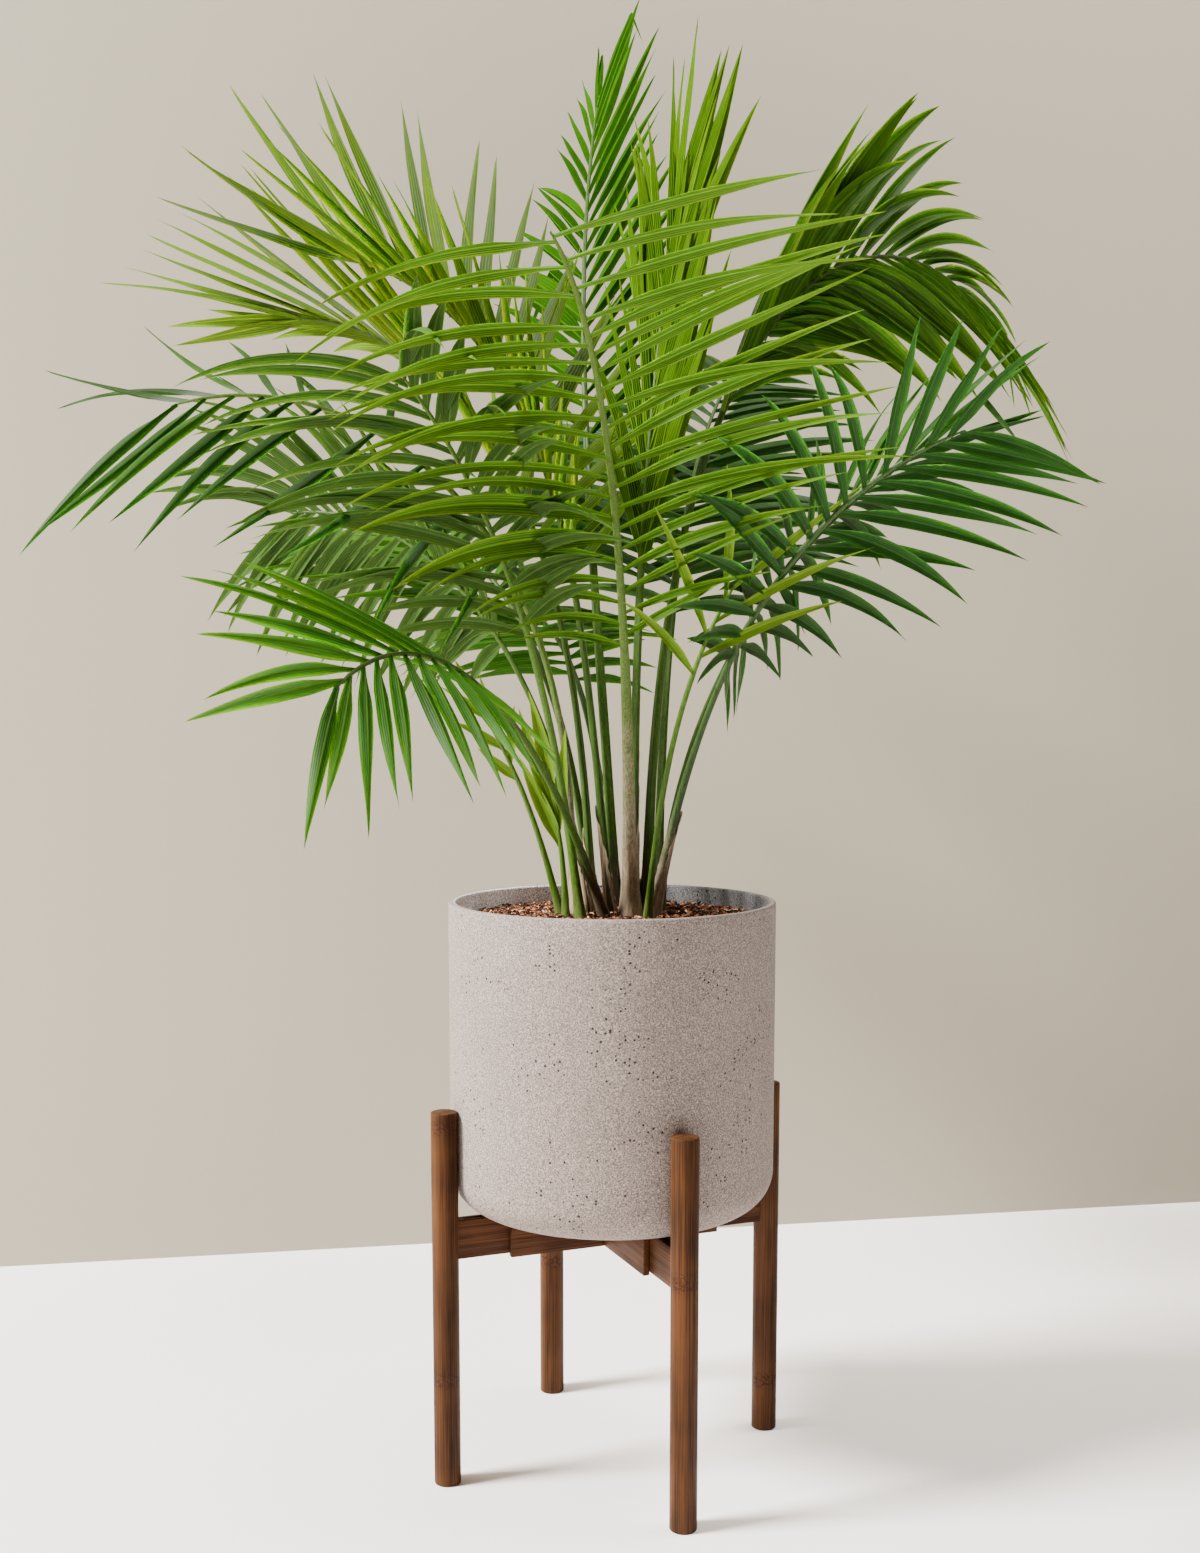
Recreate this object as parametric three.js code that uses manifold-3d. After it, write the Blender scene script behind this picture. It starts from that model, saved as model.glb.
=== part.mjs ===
// A young majesty palm in a round concrete pot, on a four-legged bamboo stand.
// Millimetres, +Z up. The feet of the stand are on z = 0, and the whole is centred
// on x = y = 0 by its box. The front of the plant looks along -Y.
import * as THREE from 'three';
import { mergeVertices } from 'three/addons/utils/BufferGeometryUtils.js';
import Module from 'manifold-3d';

const wasm = await Module();
wasm.setup();

// Clearance between pieces that touch
const GAP = 0.3;

// Pot
const POT_RADIUS = 176;
const POT_UNDERSIDE = 290;
const POT_HEIGHT = 333;
const POT_WALL = 8;
const POT_FLOOR = 14;
const POT_CORNER = 42;
const RIM_ROUND = 2.5;
const SOIL_BELOW_RIM = 21;
const POT_SIDES = 40;
const CORNER_STEPS = 5;
const INNER_CORNER_STEPS = 3;
const RIM_STEPS = 1;

// Stand: round legs outside the pot, and two crossing beams under it. Each beam is
// a sleeve of two side boards, with an inner board sliding out of it at each end.
const STAND_TURN = 22;
const LEG_RADIUS = 14.25;
const LEG_HEIGHT = 407;
const LEG_EASE = 1.5;
const LEG_SIDES = 20;
const LEG_CLEAR = 0.5;
const LEG_CENTRE = POT_RADIUS + LEG_RADIUS + LEG_CLEAR;
const BOARD_THICK = 15;
const BOARD_TALL = 42;
const BOARD_START = 62;
const TENON = 10;
const SLEEVE_SIDE = 7;
const SLEEVE_TALL = 45;
const SLEEVE_REACH = 122;
const SLEEVE_CORE = 60;

// Stalks and the three-sided ribs that carry the leaflets
const FOOT_FLARE = 1.35;
const FLARE_LENGTH = 60;
const STALK_TAPER = 0.7;
const STALK_SIDES = 6;
const STALK_STEP = 45;
const RINGS_LATE = 1.25;
const RIB_STEP = 62;
const RIB_TIP = 1.7;
const RIB_SIDES = 3;
const RIB_TAPER = 0.8;
const FEWEST_STEPS = 4;
const MIDLINE_STEPS = 80;

// Leaflets
const LEAF_MIDDLE = 0.42;
const LEAF_STEPS = 12;
const LEAF_THICK = 1 / 85;
const LEAF_RISE = 0.3;
const LEAF_NARROWEST = 0.55;
const SPREAD_LATE = 1.5;
const ROOT_FIRST = 0.02;
const ROOT_LAST = 0.985;
const ROOT_WIDE = 0.4;
const ROOT_THICK = 0.7;
const WOBBLE = { angle: 4, length: 0.06, droop: 0.06 };
const SEED = 20;
const SEED_STEP = 7919;
const SEED_START = 13;
const DICE_FACTOR = 16807;
const DICE_RANGE = 2147483647;

// Points nearer than this are one point
const MERGE = 1e-4;

// Fronds. Angles are in degrees: az is the way a frond leans, from +X towards +Y, and
// sway turns it along the way; lean and arch are its tilt from upright at the foot and
// at the tip, reached late when late is large. foot is its place on the soil and reach
// its length. bare is the share of it that is stalk, and thick the stalk's radius at
// the foot and at the blade. roll twists the blade, spread is the angle between leaflet
// and rib at the blade's start and tip, lift raises the leaflets and droop lets them hang.
// cant turns each leaflet about its own length.
// leaf is the longest leaflet, ends the share of that at the blade's start and tip.
const FRONDS = [
  { name: 'front', foot: [20, 20], az: 266, sway: -5, lean: 8, arch: 88, late: 1.2, reach: 870,
    bare: 0.34, thick: [8.5, 4.6], roll: [15, 7], spread: [68, 63], lift: -1, droop: 0.26, cant: 30,
    leaf: 230, ends: [0.48, 0.9], pairs: 21, wide: 20 },
  { name: 'shoot_left', foot: [-56, 30], az: 190, sway: 10, lean: 14, arch: 34, late: 1.6, reach: 250,
    bare: 0.62, thick: [3.4, 2.6], roll: [0, 0], spread: [48, 18], lift: -10, droop: 0.5, cant: 0,
    leaf: 100, ends: [0.8, 0.9], pairs: 3, wide: 18 },
  { name: 'shoot_right', foot: [38, -2], az: 318, sway: 12, lean: 7, arch: 34, late: 1.8, reach: 370,
    bare: 0.72, thick: [3.6, 2.8], roll: [-10, -20], spread: [58, 26], lift: -4, droop: 0.3, cant: 0,
    leaf: 190, ends: [0.8, 0.9], pairs: 3, wide: 19 },
  { name: 'sprout', foot: [-50, 12], az: 185, sway: 0, lean: 2, arch: 12, late: 1.4, reach: 130,
    bare: 0.6, thick: [3, 2.4], roll: [0, 0], spread: [16, 8], lift: -5, droop: 0.1, cant: 0,
    leaf: 100, ends: [0.85, 0.95], pairs: 2, wide: 17 },
  { name: 'left_front', foot: [-34, 4], az: 235, sway: 3, lean: 12, arch: 58, late: 1.7, reach: 620,
    bare: 0.5, thick: [5, 3.4], roll: [-12, 18], spread: [70, 35], lift: -18, droop: 0.5, cant: 30,
    leaf: 200, ends: [0.7, 0.94], pairs: 15, wide: 20 },
  { name: 'right', foot: [44, 26], az: -19, sway: -11, lean: 12, arch: 74, late: 1.8, reach: 630,
    bare: 0.46, thick: [6.5, 3.8], roll: [53, -50], spread: [87, 29], lift: 0, droop: 0.4, cant: 20,
    leaf: 290, ends: [0.57, 0.47], pairs: 18, wide: 20 },
  { name: 'right_high', foot: [38, 52], az: 47, sway: -1, lean: 2.5, arch: 121, late: 1.85, reach: 1230,
    bare: 0.46, thick: [6.5, 4.2], roll: [2, -134], spread: [29, 21], lift: -9, droop: 0.6, cant: -15,
    leaf: 320, ends: [0.87, 0.77], pairs: 19, wide: 22 },
  { name: 'left_high', foot: [0, 62], az: 174, sway: 17, lean: 5.5, arch: 82, late: 3.5, reach: 800,
    bare: 0.46, thick: [6.5, 4.2], roll: [5, -36], spread: [64, 42], lift: 24, droop: -0.16, cant: 5,
    leaf: 275, ends: [0.7, 0.95], pairs: 20, wide: 18 },
  { name: 'spear', foot: [22, 46], az: 58, sway: -5, lean: 1, arch: 13, late: 1.5, reach: 735,
    bare: 0.5, thick: [6, 4], roll: [2, -6], spread: [17, 8], lift: -3, droop: 0, cant: 30,
    leaf: 280, ends: [0.7, 0.96], pairs: 8, wide: 17 },
  { name: 'top', foot: [4, 92], az: 115, sway: -37, lean: 5, arch: 34, late: 0.8, reach: 1095,
    bare: 0.5, thick: [6, 4], roll: [5, -54], spread: [42, 14], lift: -6, droop: 0.14, cant: 20,
    leaf: 220, ends: [0.7, 0.85], pairs: 16, wide: 20 },
  { name: 'left_low', foot: [-40, 32], az: 207, sway: -24, lean: 1, arch: 108, late: 1.8, reach: 795,
    bare: 0.48, thick: [5.5, 3.8], roll: [-24, -37], spread: [99, 41], lift: -9, droop: 0.14, cant: 30,
    leaf: 285, ends: [0.7, 0.84], pairs: 17, wide: 20 },
  { name: 'left_mid', foot: [-22, 48], az: 171, sway: -21, lean: 11, arch: 93, late: 1.8, reach: 645,
    bare: 0.48, thick: [5, 3.4], roll: [-9, 79], spread: [72, 22], lift: -6, droop: 0.68, cant: 25,
    leaf: 200, ends: [0.7, 0.9], pairs: 15, wide: 21 },
  { name: 'left_lowest', foot: [-8, 22], az: 235, sway: 17, lean: 29, arch: 117, late: 1.45, reach: 628,
    bare: 0.52, thick: [5, 3.2], roll: [2, -52], spread: [72, 21], lift: -1, droop: 0.34, cant: -20,
    leaf: 195, ends: [0.7, 0.83], pairs: 15, wide: 17 },
  { name: 'left_back', foot: [-20, 76], az: 152, sway: 6, lean: 4, arch: 85, late: 2.15, reach: 850,
    bare: 0.48, thick: [5.5, 3.8], roll: [-2, 24], spread: [60, 13], lift: 6, droop: 0.14, cant: 10,
    leaf: 275, ends: [0.7, 0.9], pairs: 16, wide: 21 },
  { name: 'right_back', foot: [54, 62], az: 10, sway: -3, lean: 3.5, arch: 60, late: 1.1, reach: 620,
    bare: 0.44, thick: [5.5, 3.8], roll: [-20, -29], spread: [100, 20], lift: 5, droop: 0.4, cant: 20,
    leaf: 220, ends: [0.7, 0.8], pairs: 14, wide: 22 },
  { name: 'back', foot: [24, 100], az: 82, sway: 6, lean: 4, arch: 98, late: 1.7, reach: 850,
    bare: 0.44, thick: [6, 4], roll: [-6, 14], spread: [64, 34], lift: -8, droop: 0.35, cant: 25,
    leaf: 250, ends: [0.6, 0.75], pairs: 17, wide: 22 },
  { name: 'back_left', foot: [-22, 104], az: 128, sway: 10, lean: 10, arch: 98, late: 1.6, reach: 700,
    bare: 0.46, thick: [5.5, 3.8], roll: [12, -20], spread: [62, 30], lift: -6, droop: 0.3, cant: 25,
    leaf: 250, ends: [0.6, 0.8], pairs: 15, wide: 22 },
  { name: 'back_right', foot: [52, 86], az: 74, sway: -4, lean: 4, arch: 64, late: 1.6, reach: 760,
    bare: 0.44, thick: [5.5, 3.8], roll: [-10, 20], spread: [66, 32], lift: -4, droop: 0.45, cant: 25,
    leaf: 240, ends: [0.6, 0.75], pairs: 14, wide: 22 },
  { name: 'back_low', foot: [2, 122], az: 104, sway: 14, lean: 17, arch: 108, late: 1.5, reach: 640,
    bare: 0.46, thick: [5, 3.4], roll: [8, -16], spread: [68, 30], lift: -4, droop: 0.5, cant: 20,
    leaf: 210, ends: [0.6, 0.8], pairs: 13, wide: 22 },
];

const COLOURS = {
  concrete: new THREE.MeshStandardMaterial({ color: 0xb5aaa0, roughness: 0.9, metalness: 0 }),
  soil: new THREE.MeshStandardMaterial({ color: 0x4a2d22, roughness: 1, metalness: 0 }),
  bamboo: new THREE.MeshStandardMaterial({ color: 0x7d4a2a, roughness: 0.5, metalness: 0 }),
  stalk: new THREE.MeshStandardMaterial({ color: 0x7c8a4e, roughness: 0.6, metalness: 0 }),
  leaf: new THREE.MeshStandardMaterial({ color: 0x4c7a2c, roughness: 0.5, metalness: 0 }),
};

const RIM = POT_UNDERSIDE + POT_HEIGHT;
const SOIL_TOP = RIM - SOIL_BELOW_RIM;
const UP = new THREE.Vector3(0, 0, 1);
const radians = THREE.MathUtils.degToRad;
const mix = THREE.MathUtils.lerp;

// Seeded numbers from -1 to 1
function dice(seed) {
  let state = seed * SEED_STEP + SEED_START;
  return () => {
    state = (state * DICE_FACTOR) % DICE_RANGE;
    return (state / DICE_RANGE) * 2 - 1;
  };
}

// A closed solid from a geometry, for joining and cutting
function solid(geometry) {
  const bare = geometry.index ? geometry : mergeVertices(geometry);
  bare.deleteAttribute('normal');
  bare.deleteAttribute('uv');
  const merged = mergeVertices(bare, MERGE);
  const vertProperties = new Float32Array(merged.attributes.position.array);
  const triVerts = new Uint32Array(merged.index.array);
  return new wasm.Manifold(new wasm.Mesh({ numProp: 3, vertProperties, triVerts }));
}

function geometryOf(shape) {
  const mesh = shape.getMesh();
  const geometry = new THREE.BufferGeometry();
  geometry.setAttribute('position', new THREE.BufferAttribute(mesh.vertProperties, 3));
  geometry.setIndex(new THREE.BufferAttribute(mesh.triVerts, 1));
  return geometry;
}

// A closed skin over rings of points, with flat ends
function loft(rings) {
  const sides = rings[0].length;
  const points = rings.flat();
  const faces = [];
  for (let r = 0; r + 1 < rings.length; r++) {
    for (let i = 0; i < sides; i++) {
      const a = r * sides + i;
      const b = r * sides + ((i + 1) % sides);
      faces.push(a, b, b + sides, a, b + sides, a + sides);
    }
  }
  const last = (rings.length - 1) * sides;
  for (let i = 1; i + 1 < sides; i++) {
    faces.push(0, i + 1, i, last, last + i, last + i + 1);
  }
  const geometry = new THREE.BufferGeometry();
  const flat = points.flatMap((p) => [p.x, p.y, p.z]);
  geometry.setAttribute('position', new THREE.Float32BufferAttribute(flat, 3));
  geometry.setIndex(faces);
  return geometry;
}

// Pot and soil

function arc(points, cx, cz, radius, from, to, steps) {
  for (let i = 0; i <= steps; i++) {
    const a = radians(mix(from, to, i / steps));
    points.push(new THREE.Vector2(cx + radius * Math.cos(a), cz + radius * Math.sin(a)));
  }
}

function potGeometry() {
  const inner = POT_RADIUS - POT_WALL;
  const corner = POT_CORNER - POT_WALL;
  const outline = [new THREE.Vector2(0, POT_UNDERSIDE)];
  arc(outline, POT_RADIUS - POT_CORNER, POT_UNDERSIDE + POT_CORNER, POT_CORNER, -90, 0,
    CORNER_STEPS);
  arc(outline, POT_RADIUS - RIM_ROUND, RIM - RIM_ROUND, RIM_ROUND, 0, 90, RIM_STEPS);
  arc(outline, inner + RIM_ROUND, RIM - RIM_ROUND, RIM_ROUND, 90, 180, RIM_STEPS);
  arc(outline, inner - corner, POT_UNDERSIDE + POT_FLOOR + corner, corner, 0, -90,
    INNER_CORNER_STEPS);
  outline.push(new THREE.Vector2(0, POT_UNDERSIDE + POT_FLOOR));
  return new THREE.LatheGeometry(outline, POT_SIDES).rotateX(Math.PI / 2);
}

function soilGeometry() {
  const radius = POT_RADIUS - POT_WALL - GAP;
  const corner = POT_CORNER - POT_WALL;
  const floor = POT_UNDERSIDE + POT_FLOOR + GAP;
  const outline = [new THREE.Vector2(0, floor)];
  arc(outline, radius - corner, floor + corner, corner, -90, 0, INNER_CORNER_STEPS);
  outline.push(new THREE.Vector2(radius, SOIL_TOP), new THREE.Vector2(0, SOIL_TOP));
  return new THREE.LatheGeometry(outline, POT_SIDES).rotateX(Math.PI / 2);
}

// Stand

function block(x0, x1, y0, y1, z0, z1) {
  const geometry = new THREE.BoxGeometry(x1 - x0, y1 - y0, z1 - z0);
  return geometry.translate((x0 + x1) / 2, (y0 + y1) / 2, (z0 + z1) / 2);
}

function turned(geometry, angle) {
  return geometry.rotateZ(radians(angle));
}

const BEAM_TOP = POT_UNDERSIDE - GAP;

function board(angle, spare) {
  const half = BOARD_THICK / 2 + spare;
  const end = LEG_CENTRE - LEG_RADIUS + TENON + spare;
  const low = BEAM_TOP - BOARD_TALL - spare;
  return turned(block(BOARD_START, end, -half, half, low, BEAM_TOP + spare), angle);
}

// The leg is mortised for the end of its board
function leg(angle) {
  const outline = [new THREE.Vector2(0, 0)];
  outline.push(new THREE.Vector2(LEG_RADIUS - LEG_EASE, 0), new THREE.Vector2(LEG_RADIUS, LEG_EASE));
  outline.push(new THREE.Vector2(LEG_RADIUS, LEG_HEIGHT - LEG_EASE));
  outline.push(new THREE.Vector2(LEG_RADIUS - LEG_EASE, LEG_HEIGHT), new THREE.Vector2(0, LEG_HEIGHT));
  const round = new THREE.LatheGeometry(outline, LEG_SIDES).rotateX(Math.PI / 2);
  round.translate(LEG_CENTRE, 0, 0);
  return geometryOf(solid(turned(round, angle)).subtract(solid(board(angle, GAP))));
}

// Two side boards joined by a core, halved where the other sleeve crosses it
function sleeve(angle, notchBelow) {
  const inside = BOARD_THICK / 2 + GAP;
  const outside = inside + SLEEVE_SIDE;
  const low = BEAM_TOP - SLEEVE_TALL;
  const half = BEAM_TOP - SLEEVE_TALL / 2;
  const beam = block(-SLEEVE_REACH, SLEEVE_REACH, -outside, outside, low, BEAM_TOP);
  let shape = solid(beam);
  for (const side of [-1, 1]) {
    const ends = [side * SLEEVE_CORE, side * (SLEEVE_REACH + 1)].sort((a, b) => a - b);
    const slot = block(ends[0], ends[1], -inside, inside, low - 1, BEAM_TOP + 1);
    shape = shape.subtract(solid(slot));
  }
  const wide = outside + GAP;
  const notch = notchBelow
    ? block(-wide, wide, -outside - 1, outside + 1, low - 1, half + GAP / 2)
    : block(-wide, wide, -outside - 1, outside + 1, half - GAP / 2, BEAM_TOP + 1);
  return turned(geometryOf(shape.subtract(solid(notch))), angle);
}

// Fronds

// Unit vector with a tilt from upright, towards an azimuth
function heading(az, tilt) {
  const a = radians(az);
  const t = radians(tilt);
  return new THREE.Vector3(Math.sin(t) * Math.cos(a), Math.sin(t) * Math.sin(a), Math.cos(t));
}

// The midline of a frond, as places at equal steps, with the frame that the blade follows
function midline(frond) {
  const direction = (s) => heading(frond.az + frond.sway * s,
    frond.lean + (frond.arch - frond.lean) * s ** frond.late);
  const places = [new THREE.Vector3(frond.foot[0], frond.foot[1], SOIL_TOP + GAP)];
  for (let i = 0; i < MIDLINE_STEPS; i++) {
    const step = direction((i + 0.5) / MIDLINE_STEPS).multiplyScalar(frond.reach / MIDLINE_STEPS);
    places.push(places[i].clone().add(step));
  }
  return (s) => {
    const at = Math.min(s * MIDLINE_STEPS, MIDLINE_STEPS - 1e-6);
    const i = Math.floor(at);
    const place = places[i].clone().lerp(places[i + 1], at - i);
    const along = direction(s);
    const level = heading(frond.az + frond.sway * s + 90, 90);
    const above = along.clone().cross(level).normalize();
    const roll = radians(mix(frond.roll[0], frond.roll[1], s));
    const side = level.clone().multiplyScalar(Math.cos(roll)).addScaledVector(above, Math.sin(roll));
    const top = above.clone().multiplyScalar(Math.cos(roll)).addScaledVector(level, -Math.sin(roll));
    return { place, along, side, top };
  };
}

function ring(centre, a, b, radius, sides) {
  return Array.from({ length: sides }, (_, i) => {
    const angle = (i / sides + 1 / 4) * 2 * Math.PI;
    return centre.clone()
      .addScaledVector(a, radius * Math.cos(angle))
      .addScaledVector(b, radius * Math.sin(angle));
  });
}

function stalkRadius(frond, s) {
  const t = s / frond.bare;
  const [foot, blade] = frond.thick;
  const flare = Math.max(0, 1 - (s * frond.reach) / FLARE_LENGTH);
  return mix(foot, blade, t ** STALK_TAPER) * (1 + (FOOT_FLARE - 1) * flare * flare);
}

// From a flat cut at the soil to a square end under the blade
function stalkGeometry(frond, line) {
  const steps = Math.max(FEWEST_STEPS, Math.round((frond.bare * frond.reach) / STALK_STEP));
  const rings = [];
  for (let i = 0; i <= steps; i++) {
    const s = frond.bare * (i / steps) ** RINGS_LATE;
    const { place, along, side } = line(s);
    const a = i === 0 ? side.clone().setZ(0).normalize() : side;
    const b = i === 0 ? UP.clone().cross(a).normalize() : along.clone().cross(a).normalize();
    rings.push(ring(place, a, b, stalkRadius(frond, s), STALK_SIDES));
  }
  return loft(rings);
}

function ribRadius(frond, u) {
  return mix(frond.thick[1], RIB_TIP, u ** RIB_TAPER);
}

function ribSteps(frond) {
  return Math.max(FEWEST_STEPS, Math.round(((1 - frond.bare) * frond.reach) / RIB_STEP));
}

// Share of the whole midline at the rib's ring number i
function ribShare(frond, i) {
  return mix(frond.bare + GAP / frond.reach, 1, i / ribSteps(frond));
}

function ribGeometry(frond, line) {
  const steps = ribSteps(frond);
  const rings = [];
  for (let i = 0; i <= steps; i++) {
    const { place, along, side } = line(ribShare(frond, i));
    const b = along.clone().cross(side).normalize();
    rings.push(ring(place, side, b, ribRadius(frond, i / steps), RIB_SIDES));
  }
  return loft(rings);
}

// The rib's own centre at u, on the straight run between two of its rings
function ribCentre(frond, line, u) {
  const at = u * ribSteps(frond);
  const i = Math.min(Math.floor(at), ribSteps(frond) - 1);
  const start = line(ribShare(frond, i)).place;
  return start.lerp(line(ribShare(frond, i + 1)).place, at - i);
}

// Share of the longest leaflet at u from 0, the blade's start, to 1, its tip
function leafShare(frond, u) {
  const rise = THREE.MathUtils.smoothstep(u, 0, LEAF_RISE);
  return mix(frond.ends[0], 1, rise) * (1 - (1 - frond.ends[1]) * u * u);
}

// How far d stands out of the plane through a, b and c, as a volume
function bulge(a, b, c, d) {
  const normal = b.clone().sub(a).cross(c.clone().sub(a));
  return normal.dot(d.clone().sub(a));
}

// A ridged blade that leaves the rib at its root, bends under its own weight and ends
// in a point. spare makes it larger all round, to test its clearance.
function leafletGeometry(frond, line, u, hand, wobble, spare) {
  const t = mix(ROOT_FIRST, ROOT_LAST, u);
  const { along, side, top } = line(mix(frond.bare, 1, t));
  const place = ribCentre(frond, line, t);
  const spread = mix(frond.spread[0], frond.spread[1], u ** SPREAD_LATE);
  const angle = radians(spread + WOBBLE.angle * wobble[0]);
  const lift = radians(frond.lift);
  const out = along.clone().multiplyScalar(Math.cos(angle))
    .addScaledVector(side, hand * Math.sin(angle) * Math.cos(lift))
    .addScaledVector(top, Math.sin(angle) * Math.sin(lift));
  const length = frond.leaf * leafShare(frond, u) * (1 + WOBBLE.length * wobble[1]);
  const droop = frond.droop + WOBBLE.droop * wobble[2];
  const spots = [place.clone()];
  for (let i = 0; i < LEAF_STEPS; i++) {
    const step = out.clone().addScaledVector(UP, -droop * (i + 0.5) / LEAF_STEPS).normalize();
    spots.push(spots[i].clone().addScaledVector(step, length / LEAF_STEPS));
  }
  const middle = spots[Math.round(LEAF_MIDDLE * LEAF_STEPS)];
  const tip = spots[LEAF_STEPS];
  const level = along.clone().addScaledVector(out, -along.dot(out)).normalize();
  const across = level.applyAxisAngle(out, radians(-hand * frond.cant));
  const ridge = out.clone().cross(across).normalize().multiplyScalar(-hand);
  const section = (centre, wideWay, ridgeWay, width, thick) => [
    centre.clone().addScaledVector(wideWay, -width / 2 - spare).addScaledVector(ridgeWay, -spare),
    centre.clone().addScaledVector(wideWay, width / 2 + spare).addScaledVector(ridgeWay, -spare),
    centre.clone().addScaledVector(ridgeWay, thick + spare),
  ];
  const wide = frond.wide * Math.min(1, mix(LEAF_NARROWEST, 1, length / frond.leaf));
  const thin = ROOT_THICK * ribRadius(frond, u);
  const root = section(place.clone().addScaledVector(top, -thin / 2), along, top, wide * ROOT_WIDE, thin);
  const belly = section(middle, across, ridge, wide, length * LEAF_THICK);
  const point = tip.clone().addScaledVector(out, spare);
  const corners = [...root, ...belly, point];
  const faces = [0, 2, 1];
  for (let i = 0; i < 3; i++) {
    const j = (i + 1) % 3;
    const [a, b, c, d] = [i, j, j + 3, i + 3];
    if (bulge(corners[a], corners[b], corners[c], corners[d]) * hand > 0) {
      faces.push(a, b, c, a, c, d);
    } else {
      faces.push(a, b, d, b, c, d);
    }
    faces.push(d, c, 6);
  }
  const flip = hand < 0;
  const geometry = new THREE.BufferGeometry();
  const flat = corners.flatMap((p) => [p.x, p.y, p.z]);
  geometry.setAttribute('position', new THREE.Float32BufferAttribute(flat, 3));
  geometry.setIndex(flip ? faces : faces.toReversed());
  return geometry;
}

function overlaps(a, b) {
  return a.min.every((v, i) => v <= b.max[i] && b.min[i] <= a.max[i]);
}

function crosses(shape, others) {
  const room = shape.boundingBox();
  const near = others.filter((other) => overlaps(room, other.room));
  return near.some((other) => !shape.intersect(other.shape).isEmpty());
}

function boxed(shape) {
  return { shape, room: shape.boundingBox() };
}

// Leaflets are fused on the rib from its foot to its tip, left and right, and one that
// would touch another frond, a stalk or the pot is left out
function bladeShape(frond, line, rib, others, seed) {
  const roll = dice(seed);
  const kept = [];
  for (let i = 0; i < frond.pairs; i++) {
    for (const hand of [-1, 1]) {
      const wobble = [roll(), roll(), roll()];
      const u = (i + (hand > 0 ? 0.5 : 0)) / (frond.pairs - 0.5);
      const tested = solid(leafletGeometry(frond, line, u, hand, wobble, GAP));
      if (!crosses(tested, [...others, ...kept])) {
        kept.push(boxed(solid(leafletGeometry(frond, line, u, hand, wobble, 0))));
      }
    }
  }
  return kept.reduce((sum, leaflet) => sum.add(leaflet.shape), rib);
}

// Assembly

const palm = new THREE.Group();

function addPiece(name, geometry, colour) {
  const mesh = new THREE.Mesh(geometry, COLOURS[colour]);
  mesh.name = name;
  palm.add(mesh);
}

addPiece('pot', potGeometry(), 'concrete');
addPiece('soil', soilGeometry(), 'soil');

const LEGS = ['left', 'front', 'right', 'back'];
LEGS.forEach((name, k) => {
  const angle = 180 + STAND_TURN + 90 * k;
  addPiece(`leg_${name}`, leg(angle), 'bamboo');
  addPiece(`board_${name}`, board(angle, 0), 'bamboo');
});
addPiece('sleeve_long', sleeve(STAND_TURN, true), 'bamboo');
addPiece('sleeve_cross', sleeve(STAND_TURN + 90, false), 'bamboo');

const lines = FRONDS.map(midline);
const stalks = FRONDS.map((frond, i) => solid(stalkGeometry(frond, lines[i])));
const ribs = FRONDS.map((frond, i) => solid(ribGeometry(frond, lines[i])));
const blades = ribs.map(boxed);
const limbs = stalks.map(boxed);
const potShape = boxed(solid(potGeometry()));
FRONDS.forEach((frond, i) => {
  const others = [potShape, ...limbs, ...blades.filter((_, k) => k !== i)];
  blades[i] = boxed(bladeShape(frond, lines[i], ribs[i], others, SEED + i));
  addPiece(`stalk_${frond.name}`, geometryOf(stalks[i]), 'stalk');
  addPiece(`frond_${frond.name}`, geometryOf(blades[i].shape), 'leaf');
});

// Centre the whole by its box, with the feet left on z = 0
palm.updateMatrixWorld(true);
const bounds = new THREE.Box3().setFromObject(palm, true);
const centre = bounds.getCenter(new THREE.Vector3());
palm.position.set(-centre.x, -centre.y, 0);

export default palm;
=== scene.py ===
"""The looks of a young majesty palm in a concrete pot on a bamboo stand, built
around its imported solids. Metres, +Z up, the front of the plant along -Y."""
import math

import bmesh
import bpy
import numpy as np
from mathutils import Matrix, Vector


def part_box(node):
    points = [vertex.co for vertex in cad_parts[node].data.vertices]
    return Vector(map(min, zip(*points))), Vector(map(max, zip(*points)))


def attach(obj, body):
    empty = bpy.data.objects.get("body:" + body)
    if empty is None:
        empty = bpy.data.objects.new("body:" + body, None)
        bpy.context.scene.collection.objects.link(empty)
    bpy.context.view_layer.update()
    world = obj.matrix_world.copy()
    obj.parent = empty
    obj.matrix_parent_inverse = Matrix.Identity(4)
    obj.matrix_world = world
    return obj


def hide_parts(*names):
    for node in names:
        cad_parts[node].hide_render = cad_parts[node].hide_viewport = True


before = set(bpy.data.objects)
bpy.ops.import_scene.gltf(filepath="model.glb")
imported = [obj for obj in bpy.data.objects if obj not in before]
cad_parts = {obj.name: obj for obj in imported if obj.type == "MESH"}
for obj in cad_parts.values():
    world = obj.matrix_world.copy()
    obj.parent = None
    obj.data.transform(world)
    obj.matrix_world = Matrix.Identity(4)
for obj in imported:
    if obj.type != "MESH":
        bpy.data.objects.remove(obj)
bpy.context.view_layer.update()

MM = 0.001

# Where the frame puts the pot and the soil, and the gap between one piece and the next
POT_LOW, POT_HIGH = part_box("pot")
AXIS = (POT_LOW + POT_HIGH) / 2
POT_RADIUS = (POT_HIGH.x - POT_LOW.x) / 2
SOIL_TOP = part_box("soil")[1].z
GAP = 0.3 * MM

# Camera, as the photograph was taken: its place from the pot's axis at the floor
CAMERA_PLACE = (-0.013, -1.818, 0.829)
CAMERA_DOWN = 6.47
CAMERA_LENS = 39.34
CAMERA_SHIFT = 0.0795

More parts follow.
